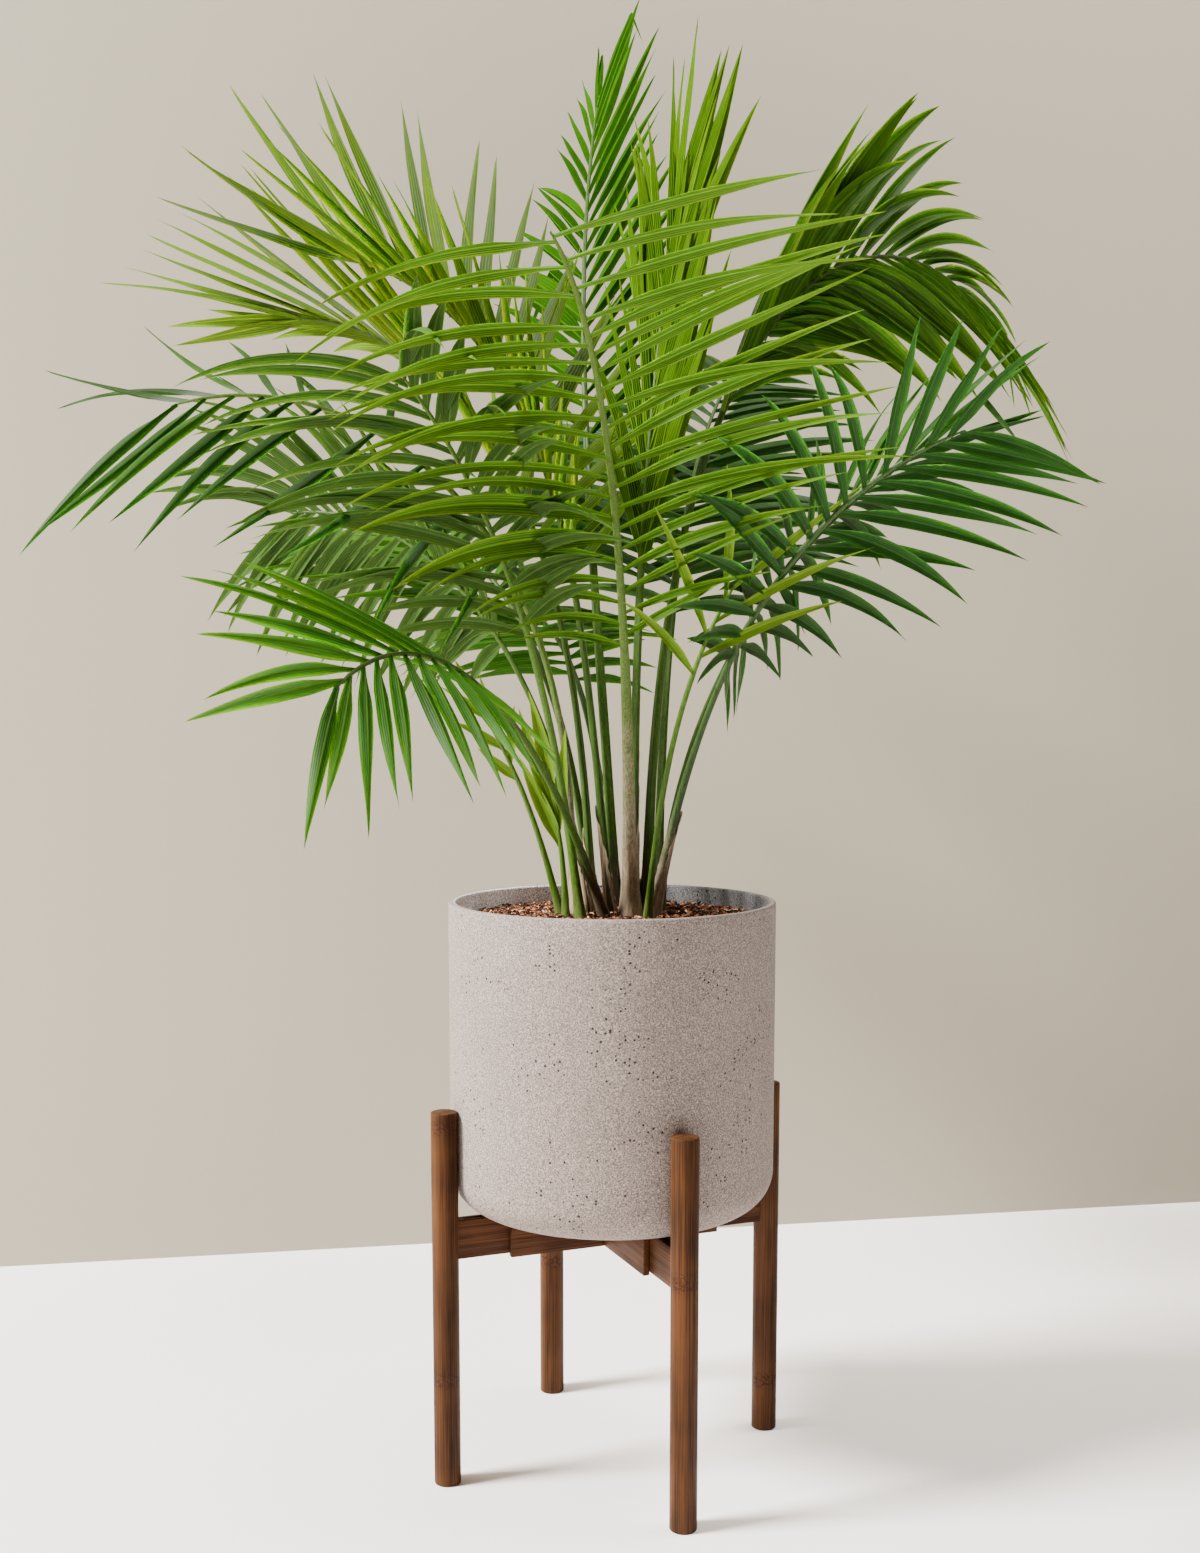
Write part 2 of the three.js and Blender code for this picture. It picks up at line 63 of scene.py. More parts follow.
# Stage and light. Places and aims are from the pot's axis at the floor, power in watts
WALL_DISTANCE = 0.795
WALL_TURN = 9.96
FLOOR_SIZE = 24
LIGHTS = [
    dict(name="key", place=(-4.95, -1.35, 4.8), aim=(0, 0, 0.8), size=1.9, power=2130,
         colour=(1.0, 0.975, 0.93)),
    dict(name="top", place=(1.3, 0.2, 4.2), aim=(1.0, 0.8, 0), size=1.3, power=180,
         colour=(1.0, 0.97, 0.92)),
]
ROOM_COLOUR = (0.80, 0.77, 0.72)
ROOM_STRENGTH = 0.110

# Pot
POT_WALL = 8 * MM
POT_FLOOR = 14 * MM
POT_CORNER = 42 * MM
RIM_ROUND = 2.5 * MM
POT_SIDES = 144
SOIL_SIDES = 96
SOIL_RINGS = 16
SOIL_ROUGH = 1.6 * MM

# Stand
STAND_TURN = 22
LEG_SIDES = 56
LEG_EASE = 1.5 * MM
BOARD_THICK = 15 * MM
BOARD_TALL = 42 * MM
BOARD_START = 62 * MM
TENON = 10 * MM
SLEEVE_SIDE = 7 * MM
SLEEVE_TALL = 45 * MM
SLEEVE_REACH = 122 * MM
SLEEVE_CORE = 60 * MM
EDGE_ROUND = 0.9 * MM
GROOVE_WIDE = 4 * MM
GROOVE_DEEP = 3 * MM
GROOVE_END = 6 * MM
SPARE = 1 * MM
# The legs, with the heights of the joints of the culm on each
LEGS = {"left": (0.118, 0.392), "front": (0.262,), "right": (0.06, 0.33), "back": (0.166, 0.37)}

# How near a plane, in metres, a point counts as on it, and how straight a face looks up
ON_PLANE = 1e-5
FACES_UP = 0.9

# Fronds, grown by the source's rule. Angles are in degrees, lengths in millimetres. foot
# is a frond's place on the soil. way is how it grows: the way it leans, from +X towards
# +Y, and how far that turns along its length, its tilt from upright at the foot and at the
# tip, and how late it gets that. reach is its length, bare the share of it that is stalk,
# thick the stalk's radius at the foot and at the blade. roll twists the blade, spread is
# the angle between leaflet and rib at the blade's start and tip, lift raises the leaflets,
# droop lets them hang and cant turns each about its own length. leaf is the longest
# leaflet, ends the share of that at the blade's start and tip. tints names the greens of
# its leaflets and skin the finish of its stalk.
# PLAIN holds what most fronds share. sag and longer are for the leaflets of hand -1 and
# hand +1, its two sides: sag is how much more they hang at their tips, and longer makes
# them longer than the source's. Between the two shares of the blade in thin, every second
# pair is left out. broad lists leaflets, as hand and pair, that are twice as wide. loose
# is how much more than the source's the leaflets differ from each other.
PLAIN = dict(skin="green", sag=(0, 0), longer=(1, 1), thin=(1, 1), broad=(), loose=1)
FRONDS = [{**PLAIN, **frond} for frond in [
    dict(name="front", foot=(20, 20), way=(266, -5, 8, 88, 1.2), reach=870, bare=0.34,
         thick=(8.5, 4.6), roll=(15, 7), spread=(68, 63), lift=-1, droop=0.26, cant=30, leaf=230,
         ends=(0.48, 0.78), pairs=23, wide=10.5, tints="fresh", skin="aged", sag=(0.45, 0.0),
         broad=((-1, 5), (-1, 6)), longer=(1.12, 1.25), thin=(0.72, 1), loose=1.5),
    dict(name="shoot_left", foot=(-56, 30), way=(190, 10, 14, 34, 1.6), reach=250, bare=0.62,
         thick=(3.4, 2.6), roll=(70, 70), spread=(26, 10), lift=-10, droop=0.15, cant=0, leaf=100,
         ends=(0.8, 0.9), pairs=3, wide=12, tints="pale", skin="young", longer=(0.65, 0.65)),
    dict(name="shoot_right", foot=(38, -2), way=(318, 12, 7, 34, 1.8), reach=370, bare=0.72,
         thick=(3.6, 2.8), roll=(-10, -20), spread=(58, 26), lift=-4, droop=0.3, cant=0, leaf=190,
         ends=(0.8, 0.9), pairs=3, wide=12, tints="pale", skin="young"),
    dict(name="sprout", foot=(-50, 12), way=(185, 0, 2, 12, 1.4), reach=130, bare=0.6,
         thick=(3, 2.4), roll=(80, 80), spread=(16, 8), lift=-5, droop=0.1, cant=0, leaf=100,
         ends=(0.85, 0.95), pairs=2, wide=15, tints="pale", skin="young", longer=(1.2, 1.2)),
    dict(name="left_front", foot=(-34, 4), way=(235, 3, 12, 58, 1.7), reach=620, bare=0.5,
         thick=(5, 3.4), roll=(-12, 18), spread=(56, 30), lift=-18, droop=0.7, cant=-10, leaf=200,
         ends=(0.7, 0.94), pairs=15, wide=16, tints="grey", skin="young", loose=2,
         longer=(1.2, 1.2)),
    dict(name="right", foot=(44, 26), way=(-19, -11, 12, 74, 1.8), reach=630, bare=0.46,
         thick=(6.5, 3.8), roll=(53, -50), spread=(87, 29), lift=0, droop=0.4, cant=20, leaf=290,
         ends=(0.57, 0.47), pairs=14, wide=17, tints="blue", skin="dusky"),
    dict(name="right_high", foot=(38, 52), way=(47, -1, 2.5, 121, 1.85), reach=1230, bare=0.46,
         thick=(6.5, 4.2), roll=(2, -134), spread=(29, 21), lift=-9, droop=0.6, cant=-15, leaf=320,
         ends=(0.87, 0.77), pairs=23, wide=19, tints="bright",
         broad=[(-1, i) for i in range(9)] + [(1, i) for i in range(4, 12)]),
    dict(name="left_high", foot=(0, 62), way=(174, 17, 5.5, 82, 3.5), reach=800, bare=0.46,
         thick=(6.5, 4.2), roll=(5, -36), spread=(64, 42), lift=24, droop=-0.16, cant=22, leaf=275,
         ends=(0.7, 0.95), pairs=20, wide=20.5, tints="lime_backlit"),
    dict(name="spear", foot=(22, 46), way=(58, -5, 1, 13, 1.5), reach=735, bare=0.5, thick=(6, 4),
         roll=(2, -6), spread=(17, 8), lift=-3, droop=0, cant=30, leaf=280, ends=(0.7, 0.96),
         pairs=20, wide=19, tints="young", longer=(0.93, 0.93), loose=1.4),
    dict(name="top", foot=(4, 92), way=(115, -37, 5, 34, 0.8), reach=1095, bare=0.5, thick=(6, 4),
         roll=(5, -54), spread=(42, 14), lift=-6, droop=0.14, cant=20, leaf=220, ends=(0.7, 0.85),
         pairs=18, wide=14, tints="shade", broad=((1, 4), (1, 5))),
    dict(name="left_low", foot=(-40, 32), way=(207, -24, 1, 108, 1.8), reach=795, bare=0.48,
         thick=(5.5, 3.8), roll=(-24, -37), spread=(99, 41), lift=-9, droop=0.14, cant=30,
         leaf=285, ends=(0.7, 0.84), pairs=14, wide=13.5, tints="deep", skin="aged", loose=2.4,
         thin=(0, 0.62)),
    dict(name="left_mid", foot=(-22, 48), way=(171, -21, 11, 93, 1.8), reach=645, bare=0.48,
         thick=(5, 3.4), roll=(-9, 79), spread=(72, 22), lift=-6, droop=0.68, cant=0, leaf=200,
         ends=(0.7, 0.9), pairs=19, wide=16.5, tints="grey", loose=2, longer=(1.15, 1.15)),
    dict(name="left_lowest", foot=(-8, 22), way=(235, 17, 29, 117, 1.45), reach=628, bare=0.52,
         thick=(5, 3.2), roll=(2, -52), spread=(72, 21), lift=-1, droop=0.34, cant=-20, leaf=195,
         ends=(0.7, 0.83), pairs=12, wide=14.5, tints="green"),
    dict(name="left_back", foot=(-20, 76), way=(152, 6, 4, 85, 2.15), reach=850, bare=0.48,
         thick=(5.5, 3.8), roll=(-2, 24), spread=(60, 13), lift=6, droop=0.14, cant=25, leaf=275,
         ends=(0.7, 0.9), pairs=22, wide=17, tints="lime_backlit", loose=1.6),
    dict(name="right_back", foot=(54, 62), way=(10, -3, 3.5, 60, 1.1), reach=620, bare=0.44,
         thick=(5.5, 3.8), roll=(-20, -29), spread=(100, 20), lift=5, droop=0.4, cant=20, leaf=220,
         ends=(0.7, 0.8), pairs=17, wide=16, tints="blue", loose=1.8),
    dict(name="back", foot=(24, 100), way=(82, 6, 4, 98, 1.7), reach=850, bare=0.44, thick=(6, 4),
         roll=(-6, 14), spread=(64, 34), lift=-8, droop=0.35, cant=25, leaf=250, ends=(0.6, 0.75),
         pairs=24, wide=17, tints="deep", loose=1.5),
    dict(name="back_left", foot=(-22, 104), way=(128, 10, 10, 98, 1.6), reach=700, bare=0.46,
         thick=(5.5, 3.8), roll=(12, -20), spread=(62, 30), lift=-6, droop=0.3, cant=25, leaf=250,
         ends=(0.6, 0.8), pairs=23, wide=18, tints="green", loose=1.6),
    dict(name="back_right", foot=(52, 86), way=(74, -4, 4, 64, 1.6), reach=760, bare=0.44,
         thick=(5.5, 3.8), roll=(-10, 20), spread=(66, 32), lift=-4, droop=0.45, cant=25, leaf=240,
         ends=(0.6, 0.75), pairs=19, wide=16, tints="deep", loose=1.5),
    dict(name="back_low", foot=(2, 122), way=(104, 14, 17, 108, 1.5), reach=640, bare=0.46,
         thick=(5, 3.4), roll=(8, -16), spread=(68, 30), lift=-4, droop=0.5, cant=20, leaf=210,
         ends=(0.6, 0.8), pairs=17, wide=16, tints="green", loose=1.5),
]]

# The source's rule for stalks and leaflets
MIDLINE_STEPS = 80
FOOT_FLARE = 1.35
FLARE_LENGTH = 60
STALK_TAPER = 0.7
RIB_TIP = 1.7
RIB_TAPER = 0.8
LEAF_RISE = 0.3
LEAF_NARROWEST = 0.55
SPREAD_LATE = 1.5
ROOT_FIRST = 0.02
ROOT_LAST = 0.985
WOBBLE_ANGLE = 5
WOBBLE_LENGTH = 0.08
WOBBLE_DROOP = 0.14
WOBBLE_WIDTH = 0.12
SEED = 20

# Finer growth than the source's
LEAF_STEPS = 20
LEAF_ROOT_WIDE = 0.42
LEAF_FULL_FROM = 0.28
LEAF_FULL_TO = 0.42
LEAF_TIP_POWER = 1.45
BROAD = 1.9
LEAF_THICK = 0.42
FOLD_ROOT, FOLD_MIDDLE, FOLD_TIP = 0.95, 0.72, 0.5
FOLD_FROM, FOLD_TO = 0.3, 0.6
THICK_ROOT, THICK_TIP = 1.6, 0.6
TWIST_MOST = 26
WAVE_MOST = 0.9
BEND_SIDEWAYS = 0.09
KINK_CHANCE = 0.015
KINK_FROM = 0.62
KINK_SPREAD = 0.2
KINK_DROP = 1.4
NO_KINK = 2
SWINGS = (0, 6, -6, 12, -12)
WAVES = 9
WAVE_SHIFT = 1.7
WAVE_FROM = 0.2
BULGE = 0.10
RIB_ABOVE = 0.25
RIB_BELOW = 0.5
TINT_SHARES = [0.45, 0.3, 0.25]

# Stalks: how many rings and sides a full and a small one has, how wide and how flat the
# foot clasps within CLASP_REACH of the soil, the channel above and how high the ridges are
SMALL_FROND = 400
STEM_RINGS, SMALL_RINGS = 96, 44
STEM_SIDES, SMALL_SIDES = 20, 12
RINGS_LATE = 1.15
STEM_SUNK = 5
CLASP_REACH = 70
CLASP_WIDE = 0.22
CLASP_FLAT = 0.10
STALK_WIDE = 0.08
STALK_FLAT = 0.30
FLAT_ENDS = 0.15
GROOVE = 0.22
GROOVE_ENDS = 0.1
GROOVE_HALF = 0.4
RIB_END = 0.45
RIB_END_FROM = 0.9
RIDGES = (0.022, 0.014, 0.02)
STEM_SPOTS = 60
CLEAR_OF_STEMS = 2.5

# Dry sheaths at the feet of the older stalks, each with its share of the frond's length
SHEATHS = {"front": 0.10, "spear": 0.25, "left_low": 0.18, "right": 0.19, "left_high": 0.15,
           "top": 0.14, "back": 0.13, "left_back": 0.11, "left_mid": 0.12, "right_high": 0.08}
SHEATH_RINGS = 40
SHEATH_SIDES = 15
SHEATH_WRAP = 118
SHEATH_LOOSE = 1.9
SHEATH_TIGHTENS = 0.6
SHEATH_LIFT = 1.6
SHEATH_THICK = 0.9
SHEATH_OPENS = 2.2
SHEATH_EDGE = 6
SHEATH_TEARS = ((7, 23), (4, 57))
SHEATH_UNEVEN = 0.5

# Chips of bark on the soil
CHIPS = 4200
CHIP_LONG = (2.5, 8)
CHIP_WIDE = (1.2, 3.4)
CHIP_THICK = (0.8, 2.2)
CHIP_UNEVEN = (0.6, 1.1)
CHIP_PILE = 3.2
CHIP_TILTS = (0.35, 0.3)
CHIP_SHARES = [0.42, 0.30, 0.18, 0.10]
CHIPS_CLEAR = 4 * MM

# Greens as linear colours: the upper side in three tints, the underside and the midrib
GREENS = {
    "fresh": [(0.011, 0.061, 0.0028), (0.031, 0.118, 0.0044), (0.0045, 0.029, 0.0016),
              (0.024, 0.066, 0.003), (0.100, 0.220, 0.004)],
    # lime: a yellow-green, lighter than the other greens as painted light shining through the
    # leaflets from behind
    "lime_backlit": [(0.032, 0.088, 0.0008), (0.068, 0.145, 0.0012), (0.013, 0.046, 0.0006),
             (0.042, 0.090, 0.002), (0.150, 0.260, 0.004)],
    "bright": [(0.011, 0.056, 0.0008), (0.032, 0.100, 0.0012), (0.005, 0.027, 0.0006),
               (0.018, 0.060, 0.003), (0.072, 0.180, 0.004)],
    "green": [(0.008, 0.043, 0.0008), (0.018, 0.070, 0.0012), (0.004, 0.022, 0.0006),
              (0.014, 0.045, 0.003), (0.050, 0.140, 0.004)],
    "deep": [(0.0060, 0.025, 0.0018), (0.0140, 0.043, 0.0030), (0.0034, 0.013, 0.0011),
             (0.007, 0.025, 0.003), (0.018, 0.064, 0.004)],
    "blue": [(0.0086, 0.032, 0.0034), (0.0158, 0.049, 0.0064), (0.0064, 0.021, 0.0026),
             (0.009, 0.033, 0.006), (0.022, 0.080, 0.010)],
    "grey": [(0.030, 0.080, 0.0105), (0.060, 0.130, 0.0170), (0.016, 0.045, 0.0058),
             (0.024, 0.048, 0.012), (0.050, 0.105, 0.018)],
    "pale": [(0.060, 0.150, 0.0030), (0.090, 0.190, 0.0050), (0.034, 0.095, 0.0025),
             (0.075, 0.145, 0.008), (0.140, 0.240, 0.012)],
    "young": [(0.0085, 0.032, 0.0010), (0.024, 0.064, 0.0016), (0.004, 0.019, 0.0006),
              (0.015, 0.042, 0.001), (0.078, 0.155, 0.004)],
    "shade": [(0.007, 0.036, 0.0010), (0.014, 0.056, 0.0014), (0.003, 0.018, 0.0006),
              (0.012, 0.038, 0.002), (0.030, 0.090, 0.004)],
}
# Greens whose leaflets have no shine at all
MATT = ["young", "grey", "shade"]

# Colours of what is brown, grey or dry, as linear colours
HOLE_COLOUR = (0.020, 0.015, 0.012)
DOT_COLOUR = (0.10, 0.06, 0.04)
NICK_COLOUR = (0.022, 0.008, 0.004)
LEG_COLOURS = (0.013, 0.0050, 0.0019), (0.090, 0.0345, 0.0110)
BEAM_COLOURS = (0.016, 0.0052, 0.0018), (0.092, 0.034, 0.0110)
FLOOR_COLOUR = (0.95, 0.90, 0.88)
WALL_COLOUR = (0.380, 0.341, 0.268)

# How fine the patterns are: each is the number of its spots, cells or streaks in a metre,
# save VEINS_ACROSS, which counts them in a leaflet. A stretch draws them out along Z.
FIBRES = 900
FIBRE_BUNDLES = 120
FIBRE_STRETCH = 0.012
STRIPS = 130
BAMBOO_CLOUDS = 14
NICKS = 330
JOINT_BENDS = 60
SPECKS = 700
PITTING = 210
PINHOLES = 215
HOLE_BENDS = 300
HOLE_CLUSTERS = 17
CAST_CLOUDS = 9
VEINS_ACROSS = 2.6
LEAF_MOTTLE = 60
STREAKS = 700
STREAK_STRETCH = 0.07
STALK_SPECKS = 420
STALK_PATCHES = 55

# How strong the patterns are
TIP_LIGHT = 0.32
VEIN_LIGHT = 0.5
NICK_DARK = 0.75

# How far a joint of the bamboo wavers up and down, and how far off it its nicks fade out
JOINT_WAVER = 6 * MM
JOINT_FADE = (4 * MM, 13 * MM)

# From and to where, in metres from the pot's axis, its inside turns from its painted light to its
# painted shade
SHADE_FROM_TO = (-0.14, 0.06)


# Helpers for nodes of a material

FLOAT, COLOUR, VECTOR = "NodeSocketFloat", "NodeSocketColor", "NodeSocketVector"


def fill(tree, socket, value):
    """Sets a socket, or links it where the value is the output of another node."""
    if hasattr(value, "is_linked"):
        tree.links.new(value, socket)
    elif socket.type == "RGBA":
        socket.default_value = (*value, 1)
    else:
        socket.default_value = value


def put_in(tree, node, **values):
    """Fills sockets of a node by their names, with _ for a space."""
    for key, value in values.items():
        fill(tree, node.inputs[key.replace("_", " ")], value)


def add_node(tree, kind, settings=None, **values):
    node = tree.nodes.new(f"ShaderNode{kind}")
    for key, value in (settings or {}).items():
        setattr(node, key, value)
    put_in(tree, node, **values)
    return node


def noise(tree, place, scale, detail=2, roughness=0.5):
    return add_node(tree, "TexNoise", Vector=place, Scale=scale, Detail=detail,
                    Roughness=roughness).outputs[0]


def ramp(tree, source, low, high):
    """Mask that rises from 0 at low to 1 at high."""
    return add_node(tree, "MapRange", {"interpolation_type": "SMOOTHSTEP"},
                    Value=source, From_Min=low, From_Max=high).outputs[0]


def fade(tree, source, low, high):
    """Mask that falls from 1 at low to 0 at high."""
    return maths(tree, "SUBTRACT", 1.0, ramp(tree, source, low, high))


def slide(tree, source, start, end, low=0.0, high=1.0):
    """Value that goes straight from start to end while the source goes from low to high."""
    return add_node(tree, "MapRange", Value=source, From_Min=low, From_Max=high,
                    To_Min=start, To_Max=end).outputs[0]


def maths(tree, operation, first, second=0.0):
    node = add_node(tree, "Math", {"operation": operation})
    for socket, value in zip(node.inputs, (first, second)):
        fill(tree, socket, value)
    return node.outputs[0]


def blend(tree, *parts):
    """Sum of values, each given with its weight."""
    total = None
    for value, weight in parts:
        part = value if weight == 1 else maths(tree, "MULTIPLY", value, weight)
        total = part if total is None else maths(tree, "ADD", total, part)
    return total


def mix_colours(tree, share, first, second):
    """Colour that goes from first to second."""
    node = add_node(tree, "Mix", {"data_type": "RGBA"})
    for index, value in ((0, share), (6, first), (7, second)):
        fill(tree, node.inputs[index], value)
    return node.outputs[2]


def scaled(tree, colour, factor):
    return add_node(tree, "VectorMath", {"operation": "SCALE"}, Vector=colour,
                    Scale=factor).outputs[0]


def axis_of(tree, place, axis):
    return add_node(tree, "SeparateXYZ", Vector=place).outputs[axis]


def red_of(tree, colour):
    return add_node(tree, "SeparateColor", Color=colour).outputs[0]


def object_place(tree):
    return add_node(tree, "TexCoord").outputs["Object"]


def new_group(name, **inputs):
    """An empty shader node group with named inputs, and what its inputs give."""
    group = bpy.data.node_groups.new(name, "ShaderNodeTree")
    for label, kind in inputs.items():
        group.interface.new_socket(label.replace("_", " "), in_out="INPUT", socket_type=kind)
    for label, kind in (("Color", COLOUR), ("Roughness", FLOAT), ("Height", FLOAT)):
        group.interface.new_socket(label, in_out="OUTPUT", socket_type=kind)
    return group, group.nodes.new("NodeGroupInput").outputs


def close_group(group, colour, roughness, height):
    end = group.nodes.new("NodeGroupOutput")
    put_in(group, end, Color=colour, Roughness=roughness, Height=height)
    return group


# Node groups

def grain_group():
    """Bamboo: long fibres and the strips it is glued from."""
    group, given = new_group("bamboo_grain", Along=VECTOR, Dark=COLOUR, Light=COLOUR)
    drawn = add_node(group, "Mapping", Vector=given["Along"],
                     Scale=(1, 1, FIBRE_STRETCH)).outputs[0]
    fibre = noise(group, drawn, FIBRES, 3, 0.6)
    strips = add_node(group, "TexVoronoi", Vector=drawn, Scale=STRIPS)
    tone = blend(group, (fibre, 0.95), (noise(group, drawn, FIBRE_BUNDLES), 0.55),
                 (red_of(group, strips.outputs["Color"]), 0.10),
                 (noise(group, given["Along"], BAMBOO_CLOUDS), 0.45))
    share = ramp(group, tone, 0.72, 1.32)
    colour = mix_colours(group, share, given["Dark"], given["Light"])
    return close_group(group, colour, slide(group, share, 0.58, 0.42), fibre)


def speckle_group():
    """Cast concrete: fine light and dark grains, and clusters of small dark pinholes."""
    group, given = new_group("cast_speckle", Place=VECTOR, Base=COLOUR, Light_Grain=COLOUR,
                             Dark_Grain=COLOUR)
    place = given["Place"]
    fine = noise(group, place, SPECKS, 2, 0.7)
    middle = noise(group, place, PITTING)
    holes = add_node(group, "TexVoronoi", Vector=place, Scale=PINHOLES)
    away = blend(group, (holes.outputs["Distance"], 1), (noise(group, place, HOLE_BENDS, 1), 0.12))
    hole = maths(group, "MULTIPLY", fade(group, away, 0.29, 0.36),
                 ramp(group, red_of(group, holes.outputs["Color"]), 0.66, 0.69))
    hole = maths(group, "MULTIPLY", hole,
                 ramp(group, noise(group, place, HOLE_CLUSTERS, 1), 0.53, 0.58))
    tone = mix_colours(group, ramp(group, fine, 0.52, 0.61), given["Base"], given["Light Grain"])
    tone = mix_colours(group, fade(group, fine, 0.37, 0.47), tone, given["Dark Grain"])
    tone = scaled(group, tone, slide(group, noise(group, place, CAST_CLOUDS, 3), 0.86, 1.12))
    tone = mix_colours(group, hole, tone, HOLE_COLOUR)
    height = blend(group, (fine, 0.35), (middle, 0.25), (hole, -1.0))
    return close_group(group, tone, slide(group, middle, 0.78, 0.95), height)


def vein_group():
    """Leaf: faint veins that run along the leaflet, a lighter tip and a little mottling."""
    group, given = new_group("leaf_veins", Base=COLOUR, Vein=COLOUR)
    place = add_node(group, "UVMap", {"uv_map": "blade"}).outputs[0]
    wave = add_node(group, "TexWave", {"bands_direction": "X"}, Vector=place,
                    Scale=VEINS_ACROSS, Distortion=0.5, Detail=1, Detail_Scale=2).outputs["Fac"]
    mottle = noise(group, object_place(group), LEAF_MOTTLE)
    tip = maths(group, "MULTIPLY", ramp(group, axis_of(group, place, "Y"), 0.35, 1.0), TIP_LIGHT)
    vein = maths(group, "MULTIPLY", ramp(group, wave, 0.5, 1.0), VEIN_LIGHT)
    tone = mix_colours(group, maths(group, "MAXIMUM", tip, vein), given["Base"], given["Vein"])
    tone = scaled(group, tone, slide(group, mottle, 0.8, 1.2))
    return close_group(group, tone, slide(group, mottle, 0.42, 0.58), wave)


def skin_group():
    """Stalk: lengthwise ribs and speckle, papery and brown at the foot, green above."""
    group, given = new_group("stalk_skin", Green=COLOUR, Foot=COLOUR, Foot_Height=FLOAT)
    place = object_place(group)
    drawn = add_node(group, "Mapping", Vector=place, Scale=(1, 1, STREAK_STRETCH))
    streak = noise(group, drawn.outputs[0], STREAKS)
    speck = noise(group, place, STALK_SPECKS)
    above = maths(group, "SUBTRACT", axis_of(group, place, "Z"), SOIL_TOP)
    near = blend(group, (maths(group, "DIVIDE", above, given["Foot Height"]), 1),
                 (noise(group, place, STALK_PATCHES, 3), 0.9), (speck, 0.6))
    aged = fade(group, near, 0.9, 1.75)
    tone = mix_colours(group, aged, given["Green"], given["Foot"])
    tone = scaled(group, tone, slide(group, streak, 0.62, 1.3, 0.3, 0.7))
    dots = maths(group, "MULTIPLY", ramp(group, speck, 0.6, 0.68), 0.45)
    tone = mix_colours(group, dots, tone, DOT_COLOUR)
    height = maths(group, "ADD", streak, speck)
    return close_group(group, tone, slide(group, aged, 0.45, 0.85), height)


GRAIN = grain_group()
SPECKLE = speckle_group()
VEINS = vein_group()
SKIN = skin_group()


# Materials

def new_material(name, group, bump, specular, **values):
    """A material whose colour, roughness and bump come from one of the groups. bump is
    the strength and the depth of its relief."""
    material = bpy.data.materials.new(name)
    material.use_nodes = True
    tree = material.node_tree
    shader = tree.nodes["Principled BSDF"]
    detail = tree.nodes.new("ShaderNodeGroup")
    detail.node_tree = group
    put_in(tree, detail, **values)
    height = add_node(tree, "Bump", Strength=bump[0], Distance=bump[1],
                      Height=detail.outputs["Height"])
    put_in(tree, shader, Base_Color=detail.outputs["Color"], Normal=height.outputs[0],
           Roughness=detail.outputs["Roughness"], Specular_IOR_Level=specular)
    return material, tree, shader, detail, height


def speckled(name, base, grains, bump, specular, far=None):
    """Concrete, bark or soil. grains says how much lighter and darker than the base its grains
    are. Where far is given, the base turns to that colour towards +X, as painted shade."""
    material, tree, _, detail, _ = new_material(name, SPECKLE, bump, specular)
    place = object_place(tree)
    if far:
        # Painted shade: the base darkens towards +X
        share = ramp(tree, axis_of(tree, place, "X"), *(AXIS.x + x for x in SHADE_FROM_TO))
        base = mix_colours(tree, share, base, far)
    light, dark = [scaled(tree, base, factor) if far else tuple(factor * c for c in base)
                   for factor in grains]
    put_in(tree, detail, Place=place, Base=base, Light_Grain=light, Dark_Grain=dark)
    return material


def concrete(name, base, far=None):
    return speckled(name, base, (1.95, 0.5), (0.6, 0.0012), 0.3, far)


def crumb(name, base):
    return speckled(name, base, (1.7, 0.35), (0.8, 0.001), 0.1)


def bamboo(name, turn, dark, light, joints=()):
    """Brown bamboo whose grain runs up, or level along a beam turned by turn degrees.
    joints are the heights where a joint of the culm shows as a row of nicks."""
    material, tree, shader, detail, bump = new_material(
        name, GRAIN, (0.25, 0.0005), 0.08, Dark=dark, Light=light)
    place = along = object_place(tree)
    if turn is not None:
        for turned in ((0, 0, -math.radians(turn)), (0, math.radians(90), 0)):
            along = add_node(tree, "Mapping", Vector=along, Rotation=turned).outputs[0]
    put_in(tree, detail, Along=along)
    if joints:
        height = blend(tree, (axis_of(tree, place, "Z"), 1),
                       (noise(tree, place, JOINT_BENDS, 1), JOINT_WAVER))
        band = 0.0
        for level in joints:
            above = maths(tree, "SUBTRACT", height, level + JOINT_WAVER / 2)
            near = fade(tree, maths(tree, "ABSOLUTE", above), *JOINT_FADE)
            band = maths(tree, "MAXIMUM", band, near)
        mark = maths(tree, "MULTIPLY", band, ramp(tree, noise(tree, place, NICKS), 0.46, 0.56))
        mark = maths(tree, "MULTIPLY", mark, NICK_DARK)
        tone = mix_colours(tree, mark, detail.outputs["Color"], NICK_COLOUR)
        put_in(tree, shader, Base_Color=tone)
        put_in(tree, bump, Height=maths(tree, "SUBTRACT", detail.outputs["Height"], mark))
    return material


def leaf(name, colour, vein, specular, glow):
    """One green of a leaflet. glow is how much light goes into the blade and out again."""
    material, tree, shader, _, _ = new_material(
        name, VEINS, (0.22, 0.0006), specular, Base=colour, Vein=vein)
    put_in(tree, shader, Subsurface_Weight=glow, Subsurface_Radius=(0.6, 1.0, 0.2),
           Subsurface_Scale=0.004)
    return material


